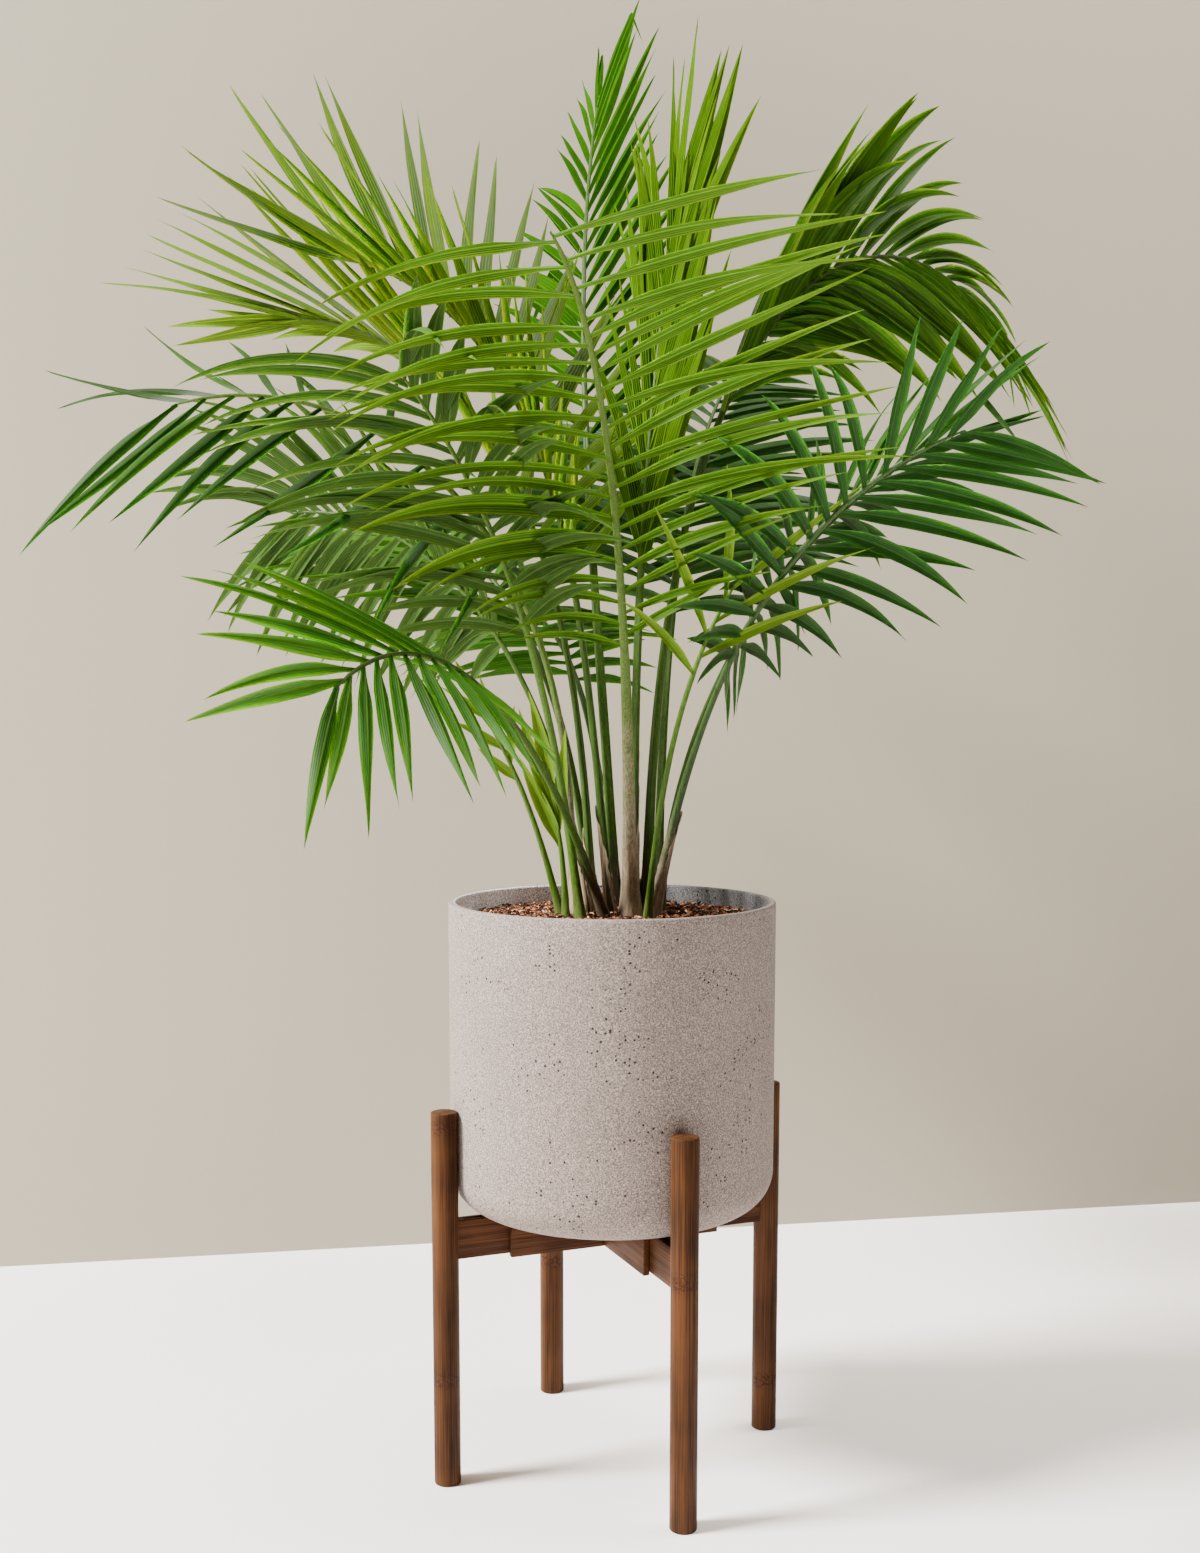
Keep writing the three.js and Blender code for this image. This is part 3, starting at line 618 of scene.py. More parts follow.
def leaf_set(kind):
    """The materials of a frond: three greens, the underside and the midrib."""
    *tints, under, rib = GREENS[kind]
    shine, dull = (0.0, 0.0) if kind in MATT else (0.10, 0.06)
    greens = [leaf(f"leaf_{kind}_{i}", tint, rib, shine, 0.2) for i, tint in enumerate(tints)]
    return [*greens, leaf(f"leaf_{kind}_under", under, rib, dull, 0.12),
            leaf(f"leaf_{kind}_rib", rib, rib, dull, 0.12)]


def stalk_skin(name, green, foot, foot_height):
    """Skin of a stalk, whose brown foot reaches about foot_height up from the soil."""
    return new_material(name, SKIN, (0.35, 0.0008), 0.15, Green=green, Foot=foot,
                        Foot_Height=foot_height)[0]


LEAVES = {kind: leaf_set(kind) for kind in GREENS}
UNDER, RIB = 3, 4
CONCRETE = concrete("concrete", (0.198, 0.162, 0.144))
# The pot's inside: the outer concrete painted much lighter as painted light, turning to a dark
# painted shade towards +X
CONCRETE_INSIDE_PAINTED_LIGHT_SHADE = concrete("concrete_inside_painted_light_shade", (0.64, 0.59, 0.645), (0.105, 0.101, 0.103))
SKINS = {
    "aged": stalk_skin("stalk_aged", (0.062, 0.115, 0.014), (0.26, 0.212, 0.146), 0.26),
    "dusky": stalk_skin("stalk_dusky", (0.030, 0.070, 0.014), (0.24, 0.190, 0.130), 0.13),
    "green": stalk_skin("stalk_green", (0.030, 0.070, 0.007), (0.085, 0.062, 0.036), 0.09),
    "young": stalk_skin("stalk_young", (0.052, 0.120, 0.008), (0.075, 0.115, 0.018), 0.04),
}
SHEATH = stalk_skin("dry_sheath", (0.22, 0.155, 0.085), (0.33, 0.248, 0.168), 0.5)
SOIL = crumb("soil_bed", (0.030, 0.0135, 0.0085))
BARK = [crumb("bark_dark", (0.032, 0.0150, 0.0090)), crumb("bark_brown", (0.150, 0.065, 0.036)),
        crumb("bark_red", (0.36, 0.148, 0.076)), crumb("bark_tan", (0.64, 0.37, 0.215))]


# Helpers for modelling

def at(x, y, z):
    """A place, given from the pot's axis at the floor."""
    return Vector((AXIS.x + x, AXIS.y + y, z))


def begin(piece=None):
    """Leaves edit mode and selects nothing but the piece."""
    if bpy.context.object and bpy.context.object.mode != "OBJECT":
        bpy.ops.object.mode_set(mode="OBJECT")
    bpy.ops.object.select_all(action="DESELECT")
    if piece:
        piece.select_set(True)
        bpy.context.view_layer.objects.active = piece


def named(name, material):
    piece = bpy.context.object
    piece.name = piece.data.name = name
    piece.data.materials.clear()
    piece.data.materials.append(material)
    return piece


def round_solid(name, material, sides, low, high):
    """An upright round piece that fills a box, left in edit mode, and half its height."""
    begin()
    half = (high.z - low.z) / 2
    bpy.ops.mesh.primitive_cylinder_add(vertices=sides, radius=(high.x - low.x) / 2,
                                        depth=2 * half, location=(low + high) / 2)
    piece = named(name, material)
    bpy.ops.object.mode_set(mode="EDIT")
    return piece, half


def pick(kind, test):
    """In edit mode, selects only the faces or the edges of a piece that pass the test."""
    bpy.ops.mesh.select_mode(type=kind)
    bpy.ops.mesh.select_all(action="DESELECT")
    mesh = bmesh.from_edit_mesh(bpy.context.object.data)
    for part in mesh.faces if kind == "FACE" else mesh.edges:
        if test(part):
            part.select_set(True)
    mesh.select_flush_mode()
    bmesh.update_edit_mesh(bpy.context.object.data)


def pick_top():
    pick("FACE", lambda face: face.normal.z > FACES_UP)


def round_at(level, width, steps):
    """Rounds the edges of a piece that lie at this height from its middle."""
    pick("EDGE", lambda edge: all(abs(end.co.z - level) < ON_PLANE for end in edge.verts))
    bpy.ops.mesh.bevel(offset=width, segments=steps, profile=0.5)


def settle(smooth_below=35):
    """Ends a piece: its place goes into its mesh, and its round parts are smooth."""
    if bpy.context.object.mode != "OBJECT":
        bpy.ops.object.mode_set(mode="OBJECT")
    bpy.ops.object.transform_apply(location=True, rotation=True, scale=True)
    bpy.ops.object.shade_smooth_by_angle(angle=math.radians(smooth_below))


def modify(kind, **settings):
    bpy.ops.object.modifier_add(type=kind)
    modifier = bpy.context.object.modifiers[-1]
    for key, value in settings.items():
        setattr(modifier, key, value)
    bpy.ops.object.modifier_apply(modifier=modifier.name)


def carry(piece, slot, *nodes):
    """The piece rides on the root body and stands for these nodes."""
    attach(piece, "root")
    if nodes:
        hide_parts(*nodes)


def mesh_piece(name, points, faces, materials, tints=None, uvs=None):
    """A mesh object from arrays of points and faces, with a material number per face."""
    mesh = bpy.data.meshes.new(name)
    mesh.from_pydata(points, [], faces)
    for material in materials:
        mesh.materials.append(material)
    if tints is not None:
        mesh.polygons.foreach_set("material_index", tints)
    if uvs is not None:
        layer = mesh.uv_layers.new(name="blade")
        corners = np.zeros(len(mesh.loops), np.int32)
        mesh.loops.foreach_get("vertex_index", corners)
        layer.data.foreach_set("uv", np.asarray(uvs, np.float32)[corners].ravel())
    piece = bpy.data.objects.new(name, mesh)
    bpy.context.collection.objects.link(piece)
    begin(piece)
    return piece


# Pot and soil

def make_pot():
    piece, half = round_solid("pot_shell", CONCRETE, POT_SIDES, POT_LOW, POT_HIGH)
    pick_top()
    bpy.ops.mesh.inset(thickness=POT_WALL)
    bpy.ops.mesh.extrude_region_move(
        TRANSFORM_OT_translate={"value": (0, 0, POT_FLOOR - 2 * half)})
    round_at(-half, POT_CORNER, 14)
    round_at(POT_FLOOR - half, POT_CORNER - POT_WALL, 8)
    round_at(half, RIM_ROUND, 4)
    for share in (0.25, 0.5, 0.75):
        bpy.ops.mesh.select_all(action="SELECT")
        level = -half + POT_CORNER + share * (2 * half - POT_CORNER)
        bpy.ops.mesh.bisect(plane_co=at(0, 0, AXIS.z + level), plane_no=(0, 0, 1))
    settle()
    # The inside faces get the concrete with painted light and painted shade
    piece.data.materials.append(CONCRETE_INSIDE_PAINTED_LIGHT_SHADE)
    for face in piece.data.polygons:
        away = (face.center - AXIS).to_2d()
        if away.length < POT_RADIUS - POT_WALL / 2 and away.dot(face.normal.to_2d()) < 0:
            face.material_index = 1
    carry(piece, "concrete", "pot")


def make_soil():
    low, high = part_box("soil")
    piece, half = round_solid("soil_bed", SOIL, SOIL_SIDES, low, high)
    round_at(-half, POT_CORNER - POT_WALL, 6)
    pick_top()
    for _ in range(SOIL_RINGS):
        bpy.ops.mesh.inset(thickness=(high.x - low.x) / 2 / (SOIL_RINGS + 2))
    pick_top()
    bpy.ops.transform.vertex_random(offset=SOIL_ROUGH, uniform=1.0, seed=3)
    settle(60)
    carry(piece, "soil", "soil")


def make_chips():
    """Bark chips that lie on the soil, turned and tilted by chance."""
    random = np.random.default_rng(SEED)
    reach = POT_RADIUS - POT_WALL - CHIPS_CLEAR
    square = (-1, -1), (1, -1), (1, 1), (-1, 1)
    corner_signs = np.array([(x, y, z) for z in (-1, 1) for x, y in square], float)
    box_faces = [(0, 3, 2, 1), (4, 5, 6, 7),
                 *((i, (i + 1) % 4, (i + 1) % 4 + 4, i + 4) for i in range(4))]
    points, faces, tints = [], [], []
    for i in range(CHIPS):
        away = reach * math.sqrt(random.random())
        around = random.random() * 2 * math.pi
        size = [random.uniform(*span) * MM / 2 for span in (CHIP_LONG, CHIP_WIDE, CHIP_THICK)]
        turn = Matrix.Rotation(random.random() * 2 * math.pi, 3, "Z")
        for most, axis in zip(CHIP_TILTS, "XY"):
            turn = turn @ Matrix.Rotation(random.normal(0, most), 3, axis)
        corners = corner_signs * size * random.uniform(*CHIP_UNEVEN, (8, 3))
        centre = at(away * math.cos(around), away * math.sin(around),
                    SOIL_TOP + random.uniform(0.0, CHIP_PILE) * MM)
        points += [tuple(centre + turn @ Vector(c)) for c in corners]
        faces += [tuple(8 * i + k for k in face) for face in box_faces]
        tints += [int(random.choice(4, p=CHIP_SHARES))] * 6
    piece = mesh_piece("bark_chips", points, faces, BARK, tints)
    carry(piece, "soil")


# Stand

BEAM_TOP = POT_LOW.z - GAP
LEG_LOW, LEG_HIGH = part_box("leg_left")
LEG_FROM_AXIS = ((LEG_LOW + LEG_HIGH) / 2 - AXIS).to_2d().length
BOARD_END = LEG_FROM_AXIS - (LEG_HIGH.x - LEG_LOW.x) / 2 + TENON


def make_leg(name, angle):
    skin = bamboo(f"bamboo_leg_{name}", None, *LEG_COLOURS, LEGS[name])
    piece, half = round_solid(f"leg_round_{name}", skin, LEG_SIDES, *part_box(f"leg_{name}"))
    for end in (half, -half):
        round_at(end, LEG_EASE, 3)
    cut(piece, beam_block("mortise", angle, BOARD_START, BOARD_END + GAP, BOARD_THICK / 2 + GAP,
                          BEAM_TOP - BOARD_TALL - GAP, BEAM_TOP + GAP))
    settle()
    carry(piece, "bamboo", f"leg_{name}")


def beam_block(name, angle, start, end, half, low, high):
    """A plain block along a beam that points at angle, for shaping or cutting."""
    begin()
    a = math.radians(angle)
    out = (start + end) / 2
    bpy.ops.mesh.primitive_cube_add(
        size=1, rotation=(0, 0, a), scale=(end - start, 2 * half, high - low),
        location=at(out * math.cos(a), out * math.sin(a), (low + high) / 2))
    block = bpy.context.object
    block.name = name
    bpy.ops.object.transform_apply(location=True, rotation=True, scale=True)
    return block


def cut(piece, cutter):
    begin(piece)
    modify("BOOLEAN", operation="DIFFERENCE", solver="EXACT", object=cutter)
    bpy.data.objects.remove(cutter)


def end_beam(piece, node):
    """Rounds every edge of a beam, as sanded wood has it, and lets it stand for its node."""
    modify("BEVEL", width=EDGE_ROUND, segments=3, limit_method="ANGLE",
           angle_limit=math.radians(40), harden_normals=False)
    settle(30)
    carry(piece, "bamboo", node)


def make_board(name, angle, material):
    """The inner board of a beam, grooved along its top, whose end goes into the leg."""
    piece = beam_block(f"board_long_{name}", angle, BOARD_START, BOARD_END, BOARD_THICK / 2,
                       BEAM_TOP - BOARD_TALL, BEAM_TOP)
    piece.data.materials.append(material)
    cut(piece, beam_block("groove", angle, SLEEVE_CORE, BOARD_END - TENON - GROOVE_END,
                          GROOVE_WIDE / 2, BEAM_TOP - GROOVE_DEEP, BEAM_TOP + SPARE))
    end_beam(piece, f"board_{name}")


def make_sleeve(name, angle, notch_below, material):
    """The outer beam: two side boards on a core, halved where the other one crosses."""
    inside = BOARD_THICK / 2 + GAP
    outside = inside + SLEEVE_SIDE
    low = BEAM_TOP - SLEEVE_TALL
    half = BEAM_TOP - SLEEVE_TALL / 2
    piece = beam_block(f"sleeve_beam_{name}", angle, -SLEEVE_REACH, SLEEVE_REACH, outside,
                       low, BEAM_TOP)
    piece.data.materials.append(material)
    full = (low - SPARE, BEAM_TOP + SPARE)
    for start, end in ((SLEEVE_CORE, SLEEVE_REACH + SPARE), (-SLEEVE_REACH - SPARE, -SLEEVE_CORE)):
        cut(piece, beam_block("slot", angle, start, end, inside, *full))
    wide = outside + GAP
    notch = (full[0], half + GAP / 2) if notch_below else (half - GAP / 2, full[1])
    cut(piece, beam_block("notch", angle, -wide, wide, outside + SPARE, *notch))
    end_beam(piece, f"sleeve_{name}")


def make_stand():
    beams = {"long": bamboo("bamboo_beam_long", STAND_TURN, *BEAM_COLOURS),
             "cross": bamboo("bamboo_beam_cross", STAND_TURN + 90, *BEAM_COLOURS)}
    for k, name in enumerate(LEGS):
        angle = 180 + STAND_TURN + 90 * k
        make_leg(name, angle)
        make_board(name, angle, beams["long" if k % 2 == 0 else "cross"])
    make_sleeve("long", STAND_TURN, True, beams["long"])
    make_sleeve("cross", STAND_TURN + 90, False, beams["cross"])


# Fronds

def unit(v):
    return v / np.linalg.norm(v)


def heading(az, tilt):
    """Unit vector with a tilt from upright, towards an azimuth."""
    a, t = math.radians(az), math.radians(tilt)
    return np.array([math.sin(t) * math.cos(a), math.sin(t) * math.sin(a), math.cos(t)])


def mix(a, b, share):
    return a + (b - a) * share


def smoothstep(x):
    x = min(1.0, max(0.0, x))
    return x * x * (3 - 2 * x)


def turn_about(v, axis, degrees):
    a = math.radians(degrees)
    return (v * math.cos(a) + np.cross(axis, v) * math.sin(a)
            + axis * np.dot(axis, v) * (1 - math.cos(a)))


UP = np.array([0.0, 0.0, 1.0])


class Midline:
    """The line of a frond from its foot to its tip, and the frame that its blade follows."""

    def __init__(self, frond):
        self.frond = frond
        x, y = frond["foot"]
        foot = np.array([AXIS.x + x * MM, AXIS.y + y * MM, SOIL_TOP + GAP])
        steps = [self.direction((i + 0.5) / MIDLINE_STEPS) * frond["reach"] * MM / MIDLINE_STEPS
                 for i in range(MIDLINE_STEPS)]
        self.places = foot + np.vstack([np.zeros(3), np.cumsum(steps, axis=0)])

    def direction(self, s):
        az, sway, lean, arch, late = self.frond["way"]
        return heading(az + sway * s, mix(lean, arch, s ** late))

    def place(self, s):
        at = min(max(s, 0) * MIDLINE_STEPS, MIDLINE_STEPS - 1e-6)
        i = int(at)
        return mix(self.places[i], self.places[i + 1], at - i)

    def frame(self, s):
        az, sway = self.frond["way"][:2]
        along = self.direction(s)
        level = heading(az + sway * s + 90, 90)
        above = unit(np.cross(along, level))
        roll = math.radians(mix(*self.frond["roll"], s))
        side = level * math.cos(roll) + above * math.sin(roll)
        top = above * math.cos(roll) - level * math.sin(roll)
        return self.place(s), along, side, top

    def radius(self, s):
        """Radius of the stalk, and past it of the rib, in metres."""
        foot, blade = self.frond["thick"]
        bare = self.frond["bare"]
        if s <= bare:
            flare = max(0.0, 1 - s * self.frond["reach"] / FLARE_LENGTH)
            thick = mix(foot, blade, (s / bare) ** STALK_TAPER)
            return thick * (1 + (FOOT_FLARE - 1) * flare * flare) * MM
        u = (s - bare) / (1 - bare)
        return mix(blade, RIB_TIP, u ** RIB_TAPER) * MM


MIDLINES = [Midline(frond) for frond in FRONDS]
SHARES = np.linspace(0, 1, STEM_SPOTS)
STEM_PLACES = [np.array([line.place(s) for s in SHARES]) for line in MIDLINES]
STEM_RADII = [np.array([line.radius(s) for s in SHARES]) for line in MIDLINES]


def loft(rings):
    """Closed skin over rings of points, with flat ends: its points and faces."""
    count, sides = rings.shape[:2]
    faces = []
    for r in range(count - 1):
        for i in range(sides):
            a, b = r * sides + i, r * sides + (i + 1) % sides
            faces.append((a, b, b + sides, a + sides))
    faces.append(tuple(range(sides))[::-1])
    faces.append(tuple((count - 1) * sides + i for i in range(sides)))
    return rings.reshape(-1, 3).tolist(), faces


def stem_rings(frond, line, random):
    """Rings round a stalk and its rib: a clasping foot, a channel along the upper side of the
    stalk, lengthwise ridges, and a rib that narrows near its tip."""
    small = frond["reach"] < SMALL_FROND
    sides = SMALL_SIDES if small else STEM_SIDES
    count = SMALL_RINGS if small else STEM_RINGS
    angles = np.arange(sides) / sides * 2 * math.pi
    phase = random.random(4) * 2 * math.pi
    c, n = np.cos(angles), np.sin(angles)
    rings = []
    for k in range(count + 1):
        s = (k / count) ** RINGS_LATE
        place, along, side, _ = line.frame(s)
        if k == 0:
            place = place - UP * STEM_SUNK * MM
            side = unit(side - UP * side[2])
            along = UP
        u = max(0.0, (s - frond["bare"]) / (1 - frond["bare"]))
        clasp = math.exp(-(s * frond["reach"] / CLASP_REACH) ** 2)
        ended = smoothstep((u - RIB_END_FROM) / (1 - RIB_END_FROM))
        radius = line.radius(s) * (1 - RIB_END * ended)
        flat = STALK_FLAT * (1 - smoothstep(u / FLAT_ENDS)) * np.clip(n, 0, 1)
        groove = GROOVE * (1 - smoothstep(u / GROOVE_ENDS)) * (1 - clasp)
        wide = radius * (1 + CLASP_WIDE * clasp + STALK_WIDE * (u <= 0))
        high = radius * (1 - CLASP_FLAT * clasp)
        ridges = (1 + RIDGES[0] * np.cos(9 * angles + phase[0])
                  + RIDGES[1] * np.cos(5 * angles + phase[1] + 9 * s)
                  + RIDGES[2] * np.sin(3 * angles + phase[2] + 40 * s) * (0.4 + clasp))
        x = wide * c * ridges
        channel = groove * radius * np.exp(-(c / GROOVE_HALF) ** 2) * (n > 0)
        y = high * n * ridges * (1 - flat) - channel
        rings.append(place + np.outer(x, side) + np.outer(y, np.cross(along, side)))
    return np.array(rings)


def make_sheath(name, share):
    """The dry, fibrous base of an older stalk: a thin torn sleeve, open towards the crown."""
    index = next(i for i, frond in enumerate(FRONDS) if frond["name"] == name)
    frond, line = FRONDS[index], MIDLINES[index]
    random = np.random.default_rng(SEED + 100 + index)
    tears = random.uniform(0, 2 * math.pi, 4)
    spread = np.linspace(-1, 1, SHEATH_SIDES)
    rings = []
    for k in range(SHEATH_RINGS + 1):
        t = k / SHEATH_RINGS
        s = share * t
        place, along, side, _ = line.frame(s)
        if k == 0:
            place = place - UP * STEM_SUNK * MM
        wraps = [SHEATH_WRAP * (1 - t ** SHEATH_OPENS) + SHEATH_EDGE
                 + sum(deep * math.sin(many * t + tears[i + j])
                       for j, (deep, many) in enumerate(SHEATH_TEARS)) for i in (0, 2)]
        angles = np.radians(-90 + spread * np.where(spread < 0, *wraps))
        loose = SHEATH_LOOSE * (1 - SHEATH_TIGHTENS * t)
        loose = loose + SHEATH_UNEVEN * np.sin(5 * angles + tears[0])
        radius = line.radius(s) + loose * MM + SHEATH_LIFT * MM * t ** 3 * np.abs(spread)
        outer = (place + np.outer(radius * np.cos(angles), side)
                 + np.outer(radius * np.sin(angles), np.cross(along, side)))
        inner = outer - (outer - place) * (SHEATH_THICK * MM / radius)[:, None]
        rings.append(np.vstack([outer, inner[::-1]]))
    piece = mesh_piece(f"sheath_{name}", *loft(np.array(rings)), [SHEATH])
    settle(50)
    carry(piece, "stalk")


# Points across a leaflet's upper side, from edge to edge, then back along its underside
ACROSS = np.array([-1, -0.55, -0.08, 0.08, 0.55, 1.0, 0.55, 0.08, -0.08, -0.55])
ON_RIB = np.abs(ACROSS) < 0.1
ROUND_COUNT = len(ACROSS)
UNDERNEATH = np.arange(ROUND_COUNT) > 5
STRIP_TINTS = ["blade", "blade", "rib", "blade", "blade",
               "under", "under", "rib", "under", "under"]


def leaf_width(t):
    """Share of a leaflet's full width at t from 0, its root, to 1, its tip."""
    rise = mix(LEAF_ROOT_WIDE, 1, smoothstep(t / LEAF_FULL_FROM))
    fall = max(0.0, (t - LEAF_FULL_TO) / (1 - LEAF_FULL_TO))
    return rise * (1 - fall ** LEAF_TIP_POWER)


def leaf_share(frond, u):
    rise = smoothstep(u / LEAF_RISE)
    return mix(frond["ends"][0], 1, rise) * (1 - (1 - frond["ends"][1]) * u * u)


def leaflet_path(frond, line, u, hand, wobble, swing):
    """The midline of one leaflet, by the source's rule, with finer bends of its own."""
    t = mix(ROOT_FIRST, ROOT_LAST, u)
    place, along, side, top = line.frame(mix(frond["bare"], 1, t))
    loose = frond["loose"]
    spread = mix(*frond["spread"], u ** SPREAD_LATE) + loose * WOBBLE_ANGLE * wobble[0] + swing
    a, lift = math.radians(spread), math.radians(frond["lift"])
    out = (along * math.cos(a) + side * hand * math.sin(a) * math.cos(lift)
           + top * math.sin(a) * math.sin(lift))
    length = frond["leaf"] * MM * leaf_share(frond, u) * (1 + WOBBLE_LENGTH * wobble[1])
    length *= frond["longer"][hand > 0]
    droop = frond["droop"] + loose * WOBBLE_DROOP * wobble[2]
    sag = frond["sag"][hand > 0]
    level = unit(along - out * np.dot(along, out))
    kink = KINK_FROM + KINK_SPREAD * wobble[3] if wobble[4] > 1 - 2 * KINK_CHANCE else NO_KINK
    spots, ways = [place], []
    for i in range(LEAF_STEPS):
        t = (i + 0.5) / LEAF_STEPS
        way = out - UP * (droop * t + sag * t * t) + level * BEND_SIDEWAYS * wobble[5] * t * 2
        if t > kink:
            way = way - UP * KINK_DROP
        ways.append(unit(way))
        spots.append(spots[-1] + ways[-1] * length / LEAF_STEPS)
    return np.array(spots), np.array(ways), level, length


def clear_of_stems(spots, own):
    """Whether a leaflet's spots keep clear of every stalk and rib but its own."""
    for k, stem in enumerate(STEM_PLACES):
        apart = np.linalg.norm(spots[:, None, :] - stem[None, :, :], axis=2)
        if k != own and (apart < STEM_RADII[k] + CLEAR_OF_STEMS * MM).any():
            return False
    return True


def leaflet_rings(frond, spots, ways, level, length, hand, wobble, broad):
    """Rings round a leaflet: a thin blade folded down on both sides of its midrib."""
    wide = frond["wide"] * MM * min(1.0, mix(LEAF_NARROWEST, 1, length / (frond["leaf"] * MM)))
    wide *= BROAD if broad else 1 + WOBBLE_WIDTH * wobble[4]
    rings = []
    across = level
    phase = 3 * wobble[0] + 2 * wobble[3]
    for i in range(LEAF_STEPS):
        t = i / LEAF_STEPS
        way = unit(ways[max(0, i - 1)] + ways[i])
        across = unit(across - way * np.dot(across, way))
        turn = -hand * frond["cant"] * smoothstep(t / LEAF_RISE) + TWIST_MOST * wobble[3] * t * t
        wide_way = turn_about(across, way, turn)
        ridge = np.cross(way, wide_way) * -hand
        half = wide * leaf_width(t) / 2
        fold = mix(FOLD_ROOT, FOLD_MIDDLE, smoothstep(t / FOLD_FROM))
        fold = mix(fold, FOLD_TIP, smoothstep((t - FOLD_TO) / (1 - FOLD_TO)))
        thick = LEAF_THICK * MM * mix(THICK_ROOT, THICK_TIP, t)
        x = ACROSS * half
        flat = np.abs(ACROSS)
        z = fold * half * (0.5 - flat) + BULGE * half * np.sin(math.pi * flat)
        wave = np.sin(WAVES * t + phase + (ACROSS > 0) * WAVE_SHIFT)
        z += WAVE_MOST * MM * flat * smoothstep(t / WAVE_FROM) * wave
        above, below = RIB_ABOVE * MM * ON_RIB, RIB_BELOW * MM * (1 - t) * ON_RIB
        z += np.where(UNDERNEATH, -thick - below, above)
        rings.append(spots[i] + np.outer(x, wide_way) + np.outer(z, ridge))
    return np.array(rings)


def leaflet_mesh(rings, tip, hand, tint, first):
    """Points, faces, tints and map of one closed leaflet whose tip is a point."""
    count = len(rings)
    last = (count - 1) * ROUND_COUNT
    tint_of = {"blade": tint, "rib": RIB, "under": UNDER}
    faces, tints = [], []
    for j, strip in enumerate(STRIP_TINTS):
        k = (j + 1) % ROUND_COUNT
        faces += [(a + j, a + k, a + k + ROUND_COUNT, a + j + ROUND_COUNT)
                  for a in range(0, last, ROUND_COUNT)]
        faces.append((last + j, last + k, last + ROUND_COUNT))
        tints += [tint_of[strip]] * count
    faces.append(tuple(range(ROUND_COUNT))[::-1])
    tints.append(UNDER)
    faces = [tuple(first + i for i in face[::-hand]) for face in faces]
    along = np.repeat(np.arange(count) / count, ROUND_COUNT)
    uvs = np.column_stack([np.tile((ACROSS + 1) / 2, count), along])
    points = np.vstack([rings.reshape(-1, 3), tip])
    return points, faces, tints, np.vstack([uvs, (0.5, 1.0)])


def make_frond(index):
    frond, line = FRONDS[index], MIDLINES[index]
    name = frond["name"]
    random = np.random.default_rng(SEED + index)
    stem = mesh_piece(f"stem_{name}", *loft(stem_rings(frond, line, random)),
                      [SKINS[frond["skin"]]])
    settle(60)
    carry(stem, "stalk", f"stalk_{name}")
    leaflets, first = [], 0
    for i in range(frond["pairs"]):
        for hand in (-1, 1):
            wobble = random.uniform(-1, 1, 6)
            tint = int(random.choice(3, p=TINT_SHARES))
            u = (i + (0.5 if hand > 0 else 0)) / (frond["pairs"] - 0.5)
            if i % 2 and frond["thin"][0] < u <= frond["thin"][1]:
                continue
            for swing in SWINGS:
                spots, ways, level, length = leaflet_path(frond, line, u, hand, wobble, swing)
                if clear_of_stems(spots[3:], index):
                    break
            else:
                continue
            broad = (hand, i) in frond["broad"]
            rings = leaflet_rings(frond, spots, ways, level, length, hand, wobble, broad)
            leaflets.append(leaflet_mesh(rings, spots[-1], hand, tint, first))
            first += len(leaflets[-1][0])
    points, faces, tints, uvs = zip(*leaflets)
    blade = mesh_piece(f"leaflets_{name}", np.vstack(points).tolist(), sum(faces, []),
                       LEAVES[frond["tints"]], sum(tints, []), np.vstack(uvs))
    settle(28)
    carry(blade, "leaf", f"frond_{name}")


# Stage, light and camera

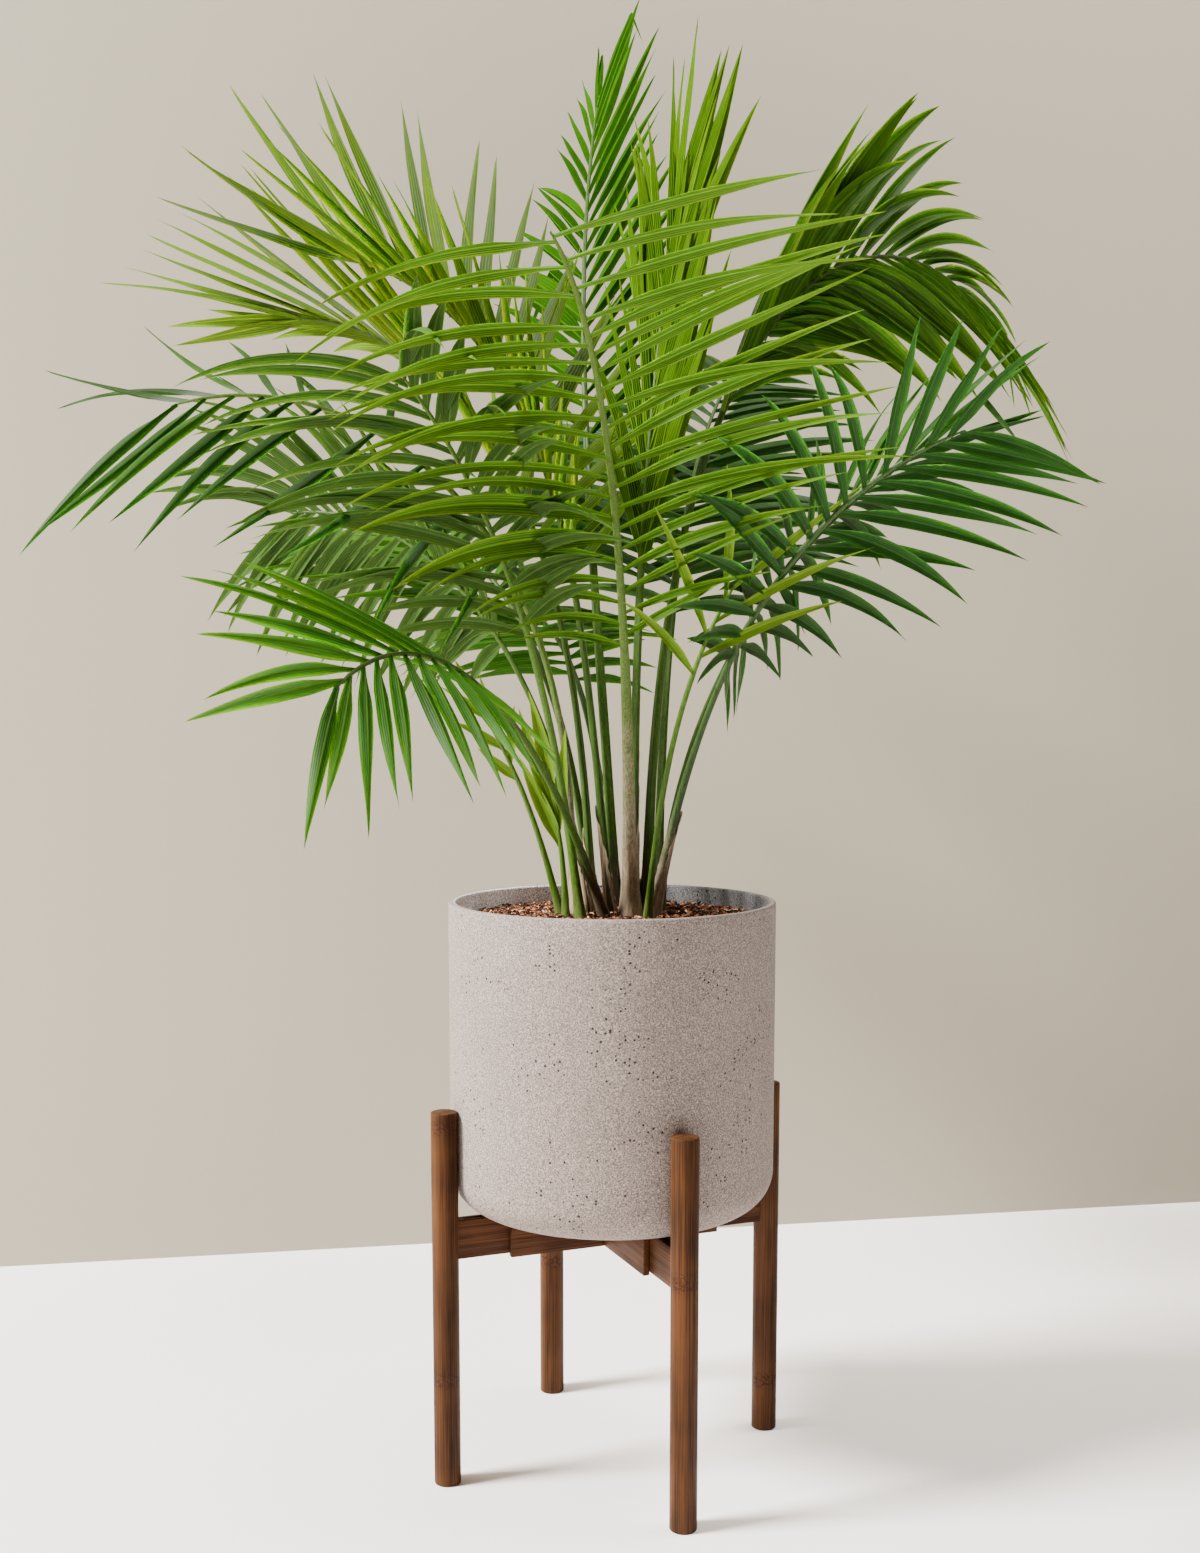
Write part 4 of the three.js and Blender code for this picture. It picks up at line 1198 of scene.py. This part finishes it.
def plain(name, colour, roughness):
    material = bpy.data.materials.new(name)
    material.use_nodes = True
    tree = material.node_tree
    put_in(tree, tree.nodes["Principled BSDF"], Base_Color=colour, Roughness=roughness)
    return material


def make_stage():
    begin()
    bpy.ops.mesh.primitive_plane_add(size=FLOOR_SIZE, location=at(0, 0, 0))
    floor = named("floor", plain("floor_pale", FLOOR_COLOUR, 0.8))
    begin()
    bpy.ops.mesh.primitive_plane_add(
        size=FLOOR_SIZE, location=at(0, WALL_DISTANCE, FLOOR_SIZE / 2),
        rotation=(math.radians(90), 0, math.radians(WALL_TURN)))
    wall = named("backdrop", plain("backdrop_greige", WALL_COLOUR, 0.9))
    tree = wall.data.materials[0].node_tree
    # Its back is clear, so that it hides nothing in views from behind
    clear = add_node(tree, "BsdfTransparent")
    either = add_node(tree, "MixShader")
    for socket, value in zip(either.inputs, (
            add_node(tree, "NewGeometry").outputs["Backfacing"],
            tree.nodes["Principled BSDF"].outputs[0], clear.outputs[0])):
        fill(tree, socket, value)
    put_in(tree, tree.nodes["Material Output"], Surface=either.outputs[0])


def make_light():
    for light in LIGHTS:
        begin()
        place, aim = Vector(light["place"]), Vector(light["aim"])
        bpy.ops.object.light_add(type="AREA", location=at(*place),
                                 rotation=(aim - place).to_track_quat("-Z", "Y").to_euler())
        lamp = bpy.context.object
        lamp.name = light["name"]
        lamp.data.shape = "DISK"
        lamp.data.size = light["size"]
        lamp.data.energy = light["power"]
        lamp.data.color = light["colour"]
    world = bpy.data.worlds.new("room")
    world.use_nodes = True
    put_in(world.node_tree, world.node_tree.nodes["Background"], Color=ROOM_COLOUR,
           Strength=ROOM_STRENGTH)
    bpy.context.scene.world = world


def make_camera():
    begin()
    bpy.ops.object.camera_add(location=at(*CAMERA_PLACE),
                              rotation=(math.radians(90 - CAMERA_DOWN), 0, 0))
    camera = bpy.context.object
    camera.data.lens = CAMERA_LENS
    camera.data.shift_y = CAMERA_SHIFT
    bpy.context.scene.camera = camera


make_camera()
make_pot()
make_soil()
make_chips()
make_stand()
for number in range(len(FRONDS)):
    make_frond(number)
for title, portion in SHEATHS.items():
    make_sheath(title, portion)
make_stage()
make_light()
begin()
